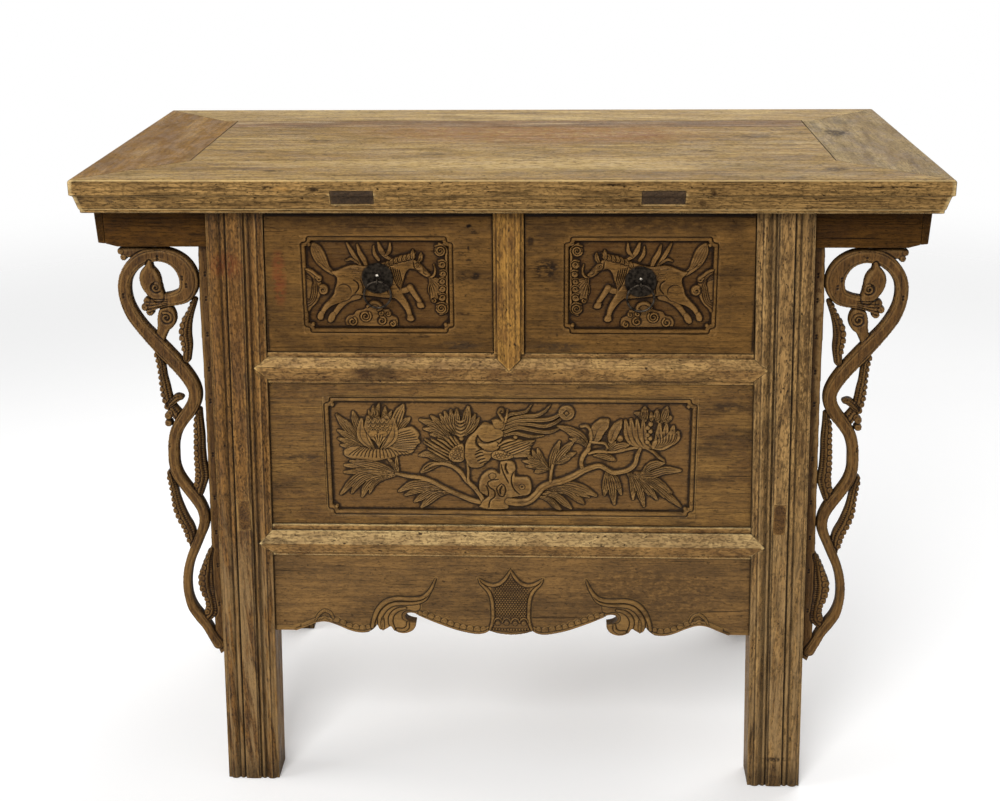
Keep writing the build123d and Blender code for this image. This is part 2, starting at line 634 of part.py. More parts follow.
def build_back():
    """Back rails and the two boards between the back legs."""
    deep = PANEL_GROOVE_D
    upper_groove = back_panel(MIDDLE_RAIL_TOP, TOP_UNDER, deep, 0.0, deep)
    lower_groove = back_panel(LOWER_RAIL_TOP, MIDDLE_RAIL_LOW, deep, deep, deep)
    tongue = PANEL_TONGUE_L
    middle = back_rail(MIDDLE_RAIL_LOW, MIDDLE_RAIL_TOP) - upper_groove - lower_groove
    lower = back_rail(LOWER_RAIL_LOW, LOWER_RAIL_TOP) - lower_groove - floor_groove()
    save(middle, "back_middle_rail")
    save(lower, "back_lower_rail")
    save(back_panel(MIDDLE_RAIL_TOP, TOP_UNDER, tongue, 0.0, tongue), "back_upper_panel")
    save(back_panel(LOWER_RAIL_TOP, MIDDLE_RAIL_LOW, tongue, tongue, tongue), "back_lower_panel")


# ---------------------------------------------------------------- sides of the case
SIDE_RAILS = {
    "top": (SIDE_TOP_RAIL_Z, TOP_UNDER),
    "middle": (MIDDLE_RAIL_LOW, MIDDLE_RAIL_TOP),
    "lower": (SIDE_LOWER_RAIL_Z, SIDE_LOWER_RAIL_Z + SIDE_LOWER_RAIL_H),
}
SIDE_PANELS = {
    "upper": (MIDDLE_RAIL_TOP, SIDE_TOP_RAIL_Z),
    "lower": (SIDE_LOWER_RAIL_Z + SIDE_LOWER_RAIL_H, MIDDLE_RAIL_LOW),
}


def side_rail_x(z_low, z_top):
    """Distance from the centre to the middle of a side rail."""
    return leg_centre_x((z_low + z_top) / 2)


def side_tenon(level, grow=0.0):
    """The tenons of a side rail; the lower one shows right through the legs' faces."""
    z_low, z_top = SIDE_RAILS[level]
    x = side_rail_x(z_low, z_top)
    half = SIDE_TENON_T / 2
    if level == "lower":
        y0, y1 = FACE_Y - grow, BACK_FACE_Y + grow
        shoulder = SIDE_TENON_SHOULDER
    else:
        y0, y1 = LEG_BACK_Y - SIDE_BLIND_TENON_L, BACK_LEG_FRONT_Y + SIDE_BLIND_TENON_L
        shoulder = SIDE_BLIND_SHOULDER
    return block(x - half, x + half, y0, y1, z_low + shoulder, z_top - shoulder)


def side_panel(z_low, z_top, grow):
    """A side board on the right, leaning with the legs; grown into its grooves."""
    z0, z1 = z_low - grow, z_top + grow
    half = SIDE_PANEL_T / 2
    x0, x1 = leg_centre_x(z0), leg_centre_x(z1)
    points = [(x0 - half, z0), (x0 + half, z0), (x1 + half, z1), (x1 - half, z1)]
    return slab(points, LEG_BACK_Y - grow, BACK_LEG_FRONT_Y + grow)


def side_rail(level):
    """A side rail on the right with its tenons and panel grooves."""
    z_low, z_top = SIDE_RAILS[level]
    x = side_rail_x(z_low, z_top)
    half = SIDE_RAIL_W / 2
    rail = block(x - half, x + half, LEG_BACK_Y, BACK_LEG_FRONT_Y, z_low, z_top)
    rail = rail + side_tenon(level)
    for low, high in SIDE_PANELS.values():
        rail = rail - side_panel(low, high, PANEL_GROOVE_D)
    return rail


def build_sides():
    """Three rails and two boards at each end of the case."""
    for level in SIDE_RAILS:
        rail = side_rail(level)
        save(mirrored_x(rail), f"left_side_{level}_rail")
        save(rail, f"right_side_{level}_rail")
    for level, (low, high) in SIDE_PANELS.items():
        board = side_panel(low, high, PANEL_TONGUE_L)
        save(mirrored_x(board), f"left_side_{level}_panel")
        save(board, f"right_side_{level}_panel")


# ---------------------------------------------------------------- legs
def reed(start, width, sink, peak):
    """A convex reed across the leg's face, as an arc from one quirk to the next."""
    return ThreePointArc((start, sink), (start + width / 2, peak), (start + width, sink))


def leg_section():
    """Section of a leg: distance in from its outer side against depth behind its face."""
    edges = []
    here = (0.0, LEG_STRIP_SINK)

    def line_to(point):
        nonlocal here
        if math.dist(here, point) > 1e-6:
            edges.append(Line(here, point))
        here = point

    def reed_to(width, sink, peak):
        nonlocal here
        line_to((here[0], sink))
        edges.append(reed(here[0], width, sink, peak))
        here = (here[0] + width, sink)

    half_w = LEG_W / 2
    line_to((LEG_STRIP_W, LEG_STRIP_SINK))
    reed_to(LEG_REED_W, LEG_STRIP_SINK, 0.0)
    line_to((here[0], LEG_QUIRK_SINK))
    line_to((here[0] + LEG_QUIRK_W, LEG_QUIRK_SINK))
    reed_to(LEG_BEAD_W, LEG_QUIRK_SINK, LEG_BEAD_SINK)
    line_to((here[0] + LEG_QUIRK_W, LEG_QUIRK_SINK))
    line_to((here[0], 0.5))
    line_to((half_w, 0.0))
    half = Sketch() + edges
    other = mirror(half, about=Plane.YZ.offset(half_w))
    ends = [
        Line((0.0, LEG_STRIP_SINK), (0.0, LEG_D)),
        Line((0.0, LEG_D), (LEG_W, LEG_D)),
        Line((LEG_W, LEG_D), (LEG_W, LEG_STRIP_SINK)),
    ]
    return make_face(list(half.edges()) + list(other.edges()) + ends)


def plain_leg(at_front):
    """A left leg before it is cut: its section swept along the splay."""
    if at_front:
        section = Pos(-LEG_OUT_TOP, FACE_Y, TOP_UNDER) * leg_section()
    else:
        corner = Align.MIN, Align.MAX
        section = Pos(-LEG_OUT_TOP, BACK_FACE_Y, TOP_UNDER) * Rectangle(BACK_LEG_W, BACK_LEG_D, align=corner)
    length = math.hypot(SPLAY, TOP_UNDER)
    return extrude(section, amount=length, dir=(-SPLAY, 0, -TOP_UNDER))


def spandrel_tabs(side):
    """Tabs that hold a spandrel in the outer side of a front leg."""
    y0 = FACE_Y + SPANDREL_SETBACK + (SPANDREL_T - SPANDREL_TAB_T) / 2
    tabs = None
    for down in SPANDREL_TABS_DOWN:
        z = SPANDREL_TOP - down
        near, far = leg_outer(z) + 4.0, leg_outer(z) - SPANDREL_TAB_L
        half = SPANDREL_TAB_H / 2
        tab = block(side * near, side * far, y0, y0 + SPANDREL_TAB_T, z - half, z + half)
        tabs = tab if tabs is None else tabs + tab
    return tabs


def build_legs():
    """Four splayed legs with every mortise, notch and groove they carry."""
    deep = PANEL_GROOVE_D
    for end, side in (("left", -1), ("right", 1)):
        front, back = plain_leg(True), plain_leg(False)
        if side > 0:
            front, back = mirrored_x(front), mirrored_x(back)
        front = front + leg_tenon_space(side, True)
        back = back + leg_tenon_space(side, False)
        for z_top, z_low, z_ridge, fillet_h in FRONT_RAILS.values():
            front = front - tip_prism(side, z_top, z_low, z_ridge, fillet_h)
            front = front - rail_tenon(side, z_low, z_top, FACE_Y + RAIL_TENON_SETBACK)
            tenon_y = BACK_FACE_Y - RAIL_TENON_SETBACK - RAIL_TENON_T
            back = back - rail_tenon(side, z_low, z_top, tenon_y, back_leg_inner)
        front = front - carved_panel_tongue(deep) - apron_tongue(deep)
        back = back - back_panel(MIDDLE_RAIL_TOP, TOP_UNDER, deep, 0.0, deep)
        back = back - back_panel(LOWER_RAIL_TOP, MIDDLE_RAIL_LOW, deep, deep, deep)
        for level in SIDE_RAILS:
            tenon = side_tenon(level, FAR)
            tenon = tenon if side > 0 else mirrored_x(tenon)
            front, back = front - tenon, back - tenon
        for low, high in SIDE_PANELS.values():
            board = side_panel(low, high, deep)
            board = board if side > 0 else mirrored_x(board)
            front, back = front - board, back - board
        front = front - spandrel_tabs(side)
        save(front, f"front_{end}_leg")
        save(back, f"back_{end}_leg")


# ---------------------------------------------------------------- compartment floor and runners
def build_floor():
    """Floor boards of the hidden compartment on their battens."""
    reach = side_rail_x(*SIDE_RAILS["lower"])
    tongue = PANEL_TONGUE_L
    z0, z1 = FLOOR_TOP - FLOOR_T, FLOOR_TOP
    inner = leg_inner(FLOOR_TOP) - 1.0
    middle = block(-reach, reach, LEG_BACK_Y, BACK_LEG_FRONT_Y, z0, z1)
    whole = middle + block(-inner, inner, LEG_BACK_Y - tongue, BACK_LEG_FRONT_Y + tongue, z0, z1)
    ahead = block(-TOP_LENGTH / 2, TOP_LENGTH / 2, -TOP_DEPTH / 2, FLOOR_SEAM_Y, z0 - FAR, z1 + FAR)
    behind = block(-TOP_LENGTH / 2, TOP_LENGTH / 2, FLOOR_SEAM_Y, TOP_DEPTH / 2, z0 - FAR, z1 + FAR)
    save(whole & ahead, "compartment_floor_front_board")
    save(whole & behind, "compartment_floor_back_board")
    battens = [floor_batten(side * FLOOR_BATTEN_X) for side in (-1, 1)]
    save(Compound(children=[b.solids()[0] for b in battens]), "compartment_floor_battens")


def build_runners():
    """Runners under the drawers, each with the guide that keeps a drawer straight."""
    z1 = MIDDLE_RAIL_TOP
    z0 = z1 - RUNNER_T
    y0, y1 = LEG_BACK_Y, BACK_LEG_FRONT_Y
    outer = side_rail_x(*SIDE_RAILS["middle"]) - SIDE_RAIL_W / 2
    guide = DRAWER_BOX_OUTER + DRAWER_SIDE_CLEAR
    runner = block(DRAWER_BOX_OUTER - RUNNER_UNDER_DRAWER, outer, y0, y1, z0, z1)
    runner = runner + block(guide, outer, y0, y1, z1, z1 + GUIDE_H)
    save(mirrored_x(runner), "left_drawer_runner")
    save(runner, "right_drawer_runner")
    centre = block(-CENTRE_RUNNER_HALF_W, CENTRE_RUNNER_HALF_W, y0, y1, z0, z1)
    centre = centre + block(-POST_HALF_W, POST_HALF_W, y0, y1, z1, z1 + GUIDE_H)
    save(centre, "centre_drawer_runner")


# ---------------------------------------------------------------- drawers
def dovetails(y_root, direction, x0, x1):
    """Tails along Y on the end of a drawer side, spread over its height."""
    pitch = DRAWER_SIDE_H / DOVETAIL_COUNT
    root = pitch * 0.28
    y_end = y_root + direction * DOVETAIL_L
    tails = None
    for index in range(DOVETAIL_COUNT):
        z = DRAWER_LOW + pitch * (index + 0.5)
        outline = [(y_root, z - root), (y_end, z - root - DOVETAIL_FLARE),
                   (y_end, z + root + DOVETAIL_FLARE), (y_root, z + root)]
        tail = bar(outline, x0, x1)
        tails = tail if tails is None else tails + tail
    return tails


def drawer_bottom_space(grow, y0):
    """The bottom board of the right drawer, grown into its grooves."""
    z0 = DRAWER_LOW + DRAWER_BOTTOM_UP
    x0 = DRAWER_BOX_INNER + DRAWER_SIDE_T - grow
    x1 = DRAWER_BOX_OUTER - DRAWER_SIDE_T + grow
    return block(x0, x1, y0, DRAWER_BACK_Y, z0, z0 + DRAWER_BOTTOM_T)


def pin_slot(x, z, grow):
    """The shank of a split pin, through plate and drawer front."""
    half_x, half_z = PIN_WIRE_R + grow, PIN_SHANK_HALF_H + grow
    y0, y1 = PLATE_FRONT_Y - PIN_EYE_OUT, DRAWER_INNER_FACE_Y
    return block(x - half_x, x + half_x, y0, y1, z - half_z, z + half_z)


def drawer_front():
    """Drawer front on the right, before its pull is fitted."""
    z0, z1 = MIDDLE_RAIL_TOP + DRAWER_GAP, TOP_UNDER - DRAWER_GAP
    x_in = POST_HALF_W + DRAWER_GAP
    outline = [(x_in, z0), (leg_inner(z0) - DRAWER_GAP, z0), (leg_inner(z1) - DRAWER_GAP, z1), (x_in, z1)]
    front = slab(outline, DRAWER_FACE_Y, DRAWER_INNER_FACE_Y)
    for x0, x1 in drawer_side_spans():
        front = front - dovetails(DRAWER_INNER_FACE_Y, -1, x0, x1)
    groove_y = DRAWER_INNER_FACE_Y - DRAWER_BOTTOM_TONGUE - 1.0
    return front - drawer_bottom_space(DRAWER_BOTTOM_TONGUE + 1.0, groove_y)


def drawer_side_spans():
    """Where the two sides of the right drawer stand."""
    inner, outer = DRAWER_BOX_INNER, DRAWER_BOX_OUTER
    return (inner, inner + DRAWER_SIDE_T), (outer - DRAWER_SIDE_T, outer)


def drawer_side(x0, x1):
    """One side of a drawer with its tails and the groove for the bottom."""
    y1 = DRAWER_BACK_Y - DRAWER_BACK_T
    side = block(x0, x1, DRAWER_INNER_FACE_Y, y1, DRAWER_LOW, DRAWER_LOW + DRAWER_SIDE_H)
    side = side + dovetails(DRAWER_INNER_FACE_Y, -1, x0, x1)
    rear = block(x0, x1, y1, DRAWER_BACK_Y, DRAWER_LOW, DRAWER_LOW + DRAWER_SIDE_H)
    side = side + rear
    return side - drawer_bottom_space(DRAWER_BOTTOM_TONGUE + 1.0, DRAWER_FACE_Y)


def drawer_back():
    """The back of a drawer, housed between its sides above the bottom board."""
    x0, x1 = DRAWER_BOX_INNER + DRAWER_SIDE_T, DRAWER_BOX_OUTER - DRAWER_SIDE_T
    z0 = DRAWER_LOW + DRAWER_BOTTOM_UP + DRAWER_BOTTOM_T
    return block(x0, x1, DRAWER_BACK_Y - DRAWER_BACK_T, DRAWER_BACK_Y, z0, DRAWER_LOW + DRAWER_BACK_H)


def plate(x, z):
    """Round iron back plate, pierced for the split pin."""
    disc = Pos(x, DRAWER_FACE_Y, z) * (Rot(90, 0, 0) * Cylinder(
        PLATE_R, PLATE_T, align=(Align.CENTER, Align.CENTER, Align.MIN)))
    return disc - pin_slot(x, z - PIN_BELOW_PLATE_CENTRE, PIN_SLOT_CLEAR)


def split_pin(x, z):
    """Split pin: an eye in front, its shank through the drawer front and its ends clinched."""
    eye_y = PLATE_FRONT_Y - PIN_EYE_OUT
    eye = Pos(x, eye_y, z) * (Rot(0, 90, 0) * Torus(PIN_HOLE_R + PIN_WIRE_R, PIN_WIRE_R))
    hole = Pos(x, eye_y, z) * (Rot(0, 90, 0) * Cylinder(PIN_HOLE_R, 6 * PIN_WIRE_R))
    shank = pin_slot(x, z, 0.0) - hole
    half_x, half_z = PIN_WIRE_R, PIN_CLINCH_HALF_L
    y0 = DRAWER_INNER_FACE_Y
    clinch = block(x - half_x, x + half_x, y0, y0 + PIN_CLINCH_T, z - half_z, z + half_z)
    return eye + shank + clinch


def pull_ring(x, z):
    """The ring that hangs in the pin's eye."""
    y = PLATE_FRONT_Y - PIN_EYE_OUT
    return Pos(x, y, z - RING_HANG - RING_R) * (Rot(90, 0, 0) * Torus(RING_R, RING_WIRE_R))


def plate_pad(x, z):
    """Raised ground under the back plate, level with the drawer's face."""
    ellipse = Plane.XZ * Ellipse(PLATE_PAD_A, PLATE_PAD_B)
    return extrude(Pos(x, DRAWER_FACE_Y, z) * ellipse, amount=CARVED_FIELD_GROUND_D, dir=(0, 1, 0))


def build_drawer(name, side, pull_z):
    """One drawer of seven pieces with its iron pull."""
    x = side * (leg_inner(MIDDLE_RAIL_TOP) + POST_HALF_W) / 2
    pin_z = pull_z - PIN_BELOW_PLATE_CENTRE
    low, high = MIDDLE_RAIL_TOP + CARVED_FIELD_BELOW, TOP_UNDER - CARVED_FIELD_ABOVE
    half_l = (leg_inner(MIDDLE_RAIL_TOP) - POST_HALF_W) / 2 - CARVED_FIELD_SIDE
    field = sunk_field(
        half_l, low, high, CARVED_FIELD_FRAME_W, x, DRAWER_FACE_Y, CARVED_FIELD_GROUND_D)
    front = drawer_front() if side > 0 else mirrored_x(drawer_front())
    front = front - (field - plate_pad(x, pull_z))
    front = front - pin_slot(x, pin_z, PIN_SLOT_CLEAR)
    save(front, f"{name}_drawer_front")
    (in0, in1), (out0, out1) = drawer_side_spans()
    inner, outer = drawer_side(in0, in1), drawer_side(out0, out1)
    back = drawer_back()
    bottom = drawer_bottom_space(DRAWER_BOTTOM_TONGUE, DRAWER_INNER_FACE_Y - DRAWER_BOTTOM_TONGUE)
    for piece, node in ((inner, "inner_side"), (outer, "outer_side"), (back, "back"), (bottom, "bottom")):
        save(piece if side > 0 else mirrored_x(piece), f"{name}_drawer_{node}")
    save(plate(x, pull_z), f"{name}_pull_plate")
    save(split_pin(x, pin_z), f"{name}_pull_pin")
    save(pull_ring(x, pin_z), f"{name}_pull_ring")


# ---------------------------------------------------------------- under the overhang
def overhang_apron(y0):
    """Short apron under the overhang, between a right leg and the end board."""
    z0 = TOP_UNDER - OVERHANG_APRON_H
    end = OVERHANG_APRON_END
    points = [
        (leg_outer(z0), z0), (end - OVERHANG_RISE_L, z0), (end, z0 + OVERHANG_RISE),
        (end, TOP_UNDER), (leg_outer(TOP_UNDER), TOP_UNDER),
    ]
    return slab(points, y0, y0 + OVERHANG_APRON_T)


def end_board():
    """Board along the right end, from the front short apron to the back one."""
    y0, y1 = FACE_Y + OVERHANG_APRON_SETBACK, BACK_FACE_Y - OVERHANG_APRON_SETBACK
    z0 = TOP_UNDER - OVERHANG_APRON_H + OVERHANG_RISE
    x0 = OVERHANG_APRON_END
    x1 = x0 + END_BOARD_T
    return slab([(x0, z0), (x1 - END_BOARD_TAPER, z0 + 1.0), (x1, TOP_UNDER), (x0, TOP_UNDER)], y0, y1)


def build_overhang():
    """Four short aprons and two end boards."""
    front = overhang_apron(FACE_Y + OVERHANG_APRON_SETBACK)
    back = overhang_apron(BACK_FACE_Y - OVERHANG_APRON_SETBACK - OVERHANG_APRON_T)
    save(mirrored_x(front), "front_left_overhang_apron")
    save(front, "front_right_overhang_apron")
    save(mirrored_x(back), "back_left_overhang_apron")
    save(back, "back_right_overhang_apron")
    board = end_board()
    save(mirrored_x(board), "left_end_board")
    save(board, "right_end_board")


def ribbon(points):
    """A band along a smooth line whose width varies, as a flat face."""
    points = [(leg_outer(SPANDREL_TOP - down) + out, SPANDREL_TOP - down, half)
              for out, down, half in points]
    sides = ([], [])
    last = len(points) - 1
    for index, (x, z, half) in enumerate(points):
        before, after = points[max(index - 1, 0)], points[min(index + 1, last)]
        run_x, run_z = after[0] - before[0], after[1] - before[1]
        run = math.hypot(run_x, run_z)
        off_x, off_z = -run_z / run * half, run_x / run * half
        sides[0].append((x + off_x, 0, z + off_z))
        sides[1].append((x - off_x, 0, z - off_z))
    one, other = Spline(*sides[0]), Spline(*sides[1])
    caps = [Line(sides[0][0], sides[1][0]), Line(sides[0][-1], sides[1][-1])]
    return make_face([one, other] + caps)


def spandrel():
    """Openwork scroll beside the front right leg, cut from one board."""
    y0 = FACE_Y + SPANDREL_SETBACK
    top = SPANDREL_TOP
    low = SPANDREL_TOP - SPANDREL_STILE_L
    shapes = [STEM, BUD, VOLUTE, CREST_LEAF, INNER_LEAF_1, OUTER_LEAF_1, LEAF_1_BARB, INNER_LEAF_2,
              OUTER_LEAF_2, INNER_LEAF_3]
    board = slab([
        (leg_outer(low) + SPANDREL_STILE_W, low), (leg_outer(top) + SPANDREL_STILE_W, top),
        (leg_outer(top), top), (leg_outer(low - 14.0), low - 14.0)], y0, y0 + SPANDREL_T)
    for points in shapes:
        face = Pos(0, y0, 0) * ribbon(points)
        board = board + extrude(face, amount=SPANDREL_T, dir=(0, 1, 0))
    beyond = slab([
        (leg_outer(0), 0), (leg_outer(TOP_UNDER), TOP_UNDER), (0, TOP_UNDER), (0, 0)],
        y0 - FAR, y0 + SPANDREL_T + FAR)
    above = block(0, TOP_LENGTH, y0 - FAR, y0 + SPANDREL_T + FAR, top, TOP_UNDER + FAR)
    return board - beyond - above + spandrel_tabs(1)


def build_spandrels():
    """The two openwork spandrels."""
    right = spandrel()
    save(mirrored_x(right), "left_spandrel")
    save(right, "right_spandrel")


os.makedirs("parts", exist_ok=True)
build_top()
build_front()
build_back()
build_sides()
build_legs()
build_floor()
build_runners()
build_drawer("left", -1, TOP_UNDER - LEFT_PULL_DOWN)
build_drawer("right", 1, TOP_UNDER - RIGHT_PULL_DOWN)
build_overhang()
build_spandrels()
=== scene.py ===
import json
import math

import bpy
import numpy as np
from mathutils import Matrix, Vector

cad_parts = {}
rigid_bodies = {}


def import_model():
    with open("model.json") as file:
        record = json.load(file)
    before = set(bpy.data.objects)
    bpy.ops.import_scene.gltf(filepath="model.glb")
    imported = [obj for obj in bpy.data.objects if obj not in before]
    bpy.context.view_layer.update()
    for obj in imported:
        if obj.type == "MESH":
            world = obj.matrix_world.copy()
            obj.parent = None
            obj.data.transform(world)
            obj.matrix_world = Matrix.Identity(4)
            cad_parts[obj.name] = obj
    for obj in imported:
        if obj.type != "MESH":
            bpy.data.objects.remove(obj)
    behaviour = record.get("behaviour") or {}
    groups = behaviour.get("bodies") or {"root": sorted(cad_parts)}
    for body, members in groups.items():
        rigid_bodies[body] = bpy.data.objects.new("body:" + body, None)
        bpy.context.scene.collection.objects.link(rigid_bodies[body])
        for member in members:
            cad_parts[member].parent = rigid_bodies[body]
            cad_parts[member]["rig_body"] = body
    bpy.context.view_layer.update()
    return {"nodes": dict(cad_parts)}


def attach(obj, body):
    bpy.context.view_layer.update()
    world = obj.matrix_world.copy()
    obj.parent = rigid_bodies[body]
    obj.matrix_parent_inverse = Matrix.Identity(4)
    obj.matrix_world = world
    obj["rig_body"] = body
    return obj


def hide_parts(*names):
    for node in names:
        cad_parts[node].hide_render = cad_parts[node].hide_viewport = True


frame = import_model()


# ---- Studio ----
# A pale floor that fades into white, an even sky and three soft lamps: one high
# in front, one from the left and one from the right behind.
def linear(code):
    """The linear colour of an sRGB hex code."""
    channels = [int(code[i:i + 2], 16) / 255 for i in (1, 3, 5)]
    return [c / 12.92 if c <= 0.04045 else ((c + 0.055) / 1.055) ** 2.4 for c in channels] + [1.0]


def add(material, kind, sockets=None, **settings):
    """Adds a shader node with its settings. A socket is given a value, or an output or a node to link."""
    tree = material.node_tree
    made = tree.nodes.new("ShaderNode" + kind)
    for key, value in settings.items():
        setattr(made, key, value)
    for socket, value in (sockets or {}).items():
        if isinstance(value, bpy.types.Node):
            value = value.outputs[0]
        if isinstance(value, bpy.types.NodeSocket):
            tree.links.new(value, made.inputs[socket])
        else:
            made.inputs[socket].default_value = value
    return made


scene = bpy.context.scene
scene.view_settings.view_transform = "Standard"

CAMERA_PLACE = (0.069217, -2.137040, 1.259717)
CAMERA_YAW, CAMERA_PITCH, CAMERA_ROLL = -0.0428593, 0.3427698, 0.0086024
LENS_MM, SENSOR_MM = 55.517, 36
forward = Vector((math.sin(CAMERA_YAW) * math.cos(CAMERA_PITCH),
                  math.cos(CAMERA_YAW) * math.cos(CAMERA_PITCH), -math.sin(CAMERA_PITCH)))
level = Vector((math.cos(CAMERA_YAW), -math.sin(CAMERA_YAW), 0))
below = forward.cross(level)
across = level * math.cos(CAMERA_ROLL) + below * math.sin(CAMERA_ROLL)
up = level * math.sin(CAMERA_ROLL) - below * math.cos(CAMERA_ROLL)
camera = bpy.data.objects.new("camera", bpy.data.cameras.new("camera"))
camera.data.lens = LENS_MM
camera.data.sensor_width = SENSOR_MM
camera.matrix_world = Matrix((across, up, -forward)).transposed().to_4x4()
camera.location = CAMERA_PLACE
scene.collection.objects.link(camera)
scene.camera = camera

SKY_LIGHT = 0.32
sky = bpy.data.worlds.new("studio sky")
sky.use_nodes = True
sky.node_tree.nodes.clear()
rays = add(sky, "LightPath")
seen = add(sky, "Math", {0: rays.outputs["Is Camera Ray"], 1: rays.outputs["Is Glossy Ray"]},
           operation="MAXIMUM")
seen = add(sky, "Math", {0: seen, 1: rays.outputs["Is Transmission Ray"]}, operation="MAXIMUM")
glow = add(sky, "Background", {"Color": linear("#ffffff"), "Strength": SKY_LIGHT})
white = add(sky, "Background", {"Color": linear("#ffffff"), "Strength": 1.0})
either = add(sky, "MixShader", {0: seen, 1: glow, 2: white})
add(sky, "OutputWorld", {"Surface": either})
scene.world = sky

LAMPS_AIM_AT = Vector((0, 0, 0.5))
for name, place, size, watts in (("front lamp", (-0.6, -2.5, 2.2), 1.1, 62),
                                 ("left lamp", (-2.6, -0.6, 1.9), 1.6, 30),
                                 ("high lamp", (0.9, 1.3, 2.7), 2.0, 48)):
    lamp = bpy.data.objects.new(name, bpy.data.lights.new(name, "AREA"))
    lamp.data.size = size
    lamp.data.energy = watts
    lamp.location = place
    lamp.rotation_euler = (LAMPS_AIM_AT - Vector(place)).to_track_quat("-Z", "Y").to_euler()
    scene.collection.objects.link(lamp)

# Matt white paper: it takes a soft shadow, and goes over into the white round it.
FLOOR_RADIUS, FLOOR_Z, FLOOR_LIFT = 9, -0.0006, 0.16
FADE_FROM, FADE_TO = 1.4, 4.0
bpy.ops.mesh.primitive_circle_add(vertices=96, radius=FLOOR_RADIUS, fill_type="NGON",
                                  location=(0, 0, FLOOR_Z))
floor = bpy.context.object
floor.name = "studio_floor"
paper = bpy.data.materials.new("matt white studio floor")
paper.use_nodes = True
paper.node_tree.nodes.clear()
rays = add(paper, "LightPath")
matt = add(paper, "BsdfDiffuse", {"Color": linear("#f4f4f4")})
lift = add(paper, "Emission", {"Color": linear("#ffffff"), "Strength": FLOOR_LIFT})
bright = add(paper, "AddShader", {0: matt, 1: lift})
lit = add(paper, "MixShader", {0: rays.outputs["Is Camera Ray"], 1: matt, 2: bright})
spot = add(paper, "TexCoord")
far = add(paper, "VectorMath", {0: spot.outputs["Object"]}, operation="LENGTH")
fade = add(paper, "MapRange", {"Value": far.outputs["Value"], "From Min": FADE_FROM, "From Max": FADE_TO},
           interpolation_type="SMOOTHSTEP")
clear = add(paper, "BsdfTransparent")
ground = add(paper, "MixShader", {0: fade, 1: lit, 2: clear})
add(paper, "OutputMaterial", {"Surface": ground})
floor.data.materials.append(paper)


# ---- Table top ----
# A mitred frame of four elm rails holding a wide board and a narrow darker back board, on
# two battens dovetailed across below; on top the wax has worn off and the wood has bleached, and
# what looks up is painted paler, partly for the light from above.
LEG_SPLAY = 0.0299
GRAIN_TURN = {"x": (0, 0, 0), "y": (0, 0, -math.pi / 2), "z": (0, math.pi / 2, 0),
              "left leg": (0, math.pi / 2 + LEG_SPLAY, 0), "right leg": (0, math.pi / 2 - LEG_SPLAY, 0)}
RING_MM = 7.0
SOFT = {"interpolation_type": "SMOOTHSTEP"}
LINES_SPAN_MM, LINES_IN_A_RAMP = 100, 10


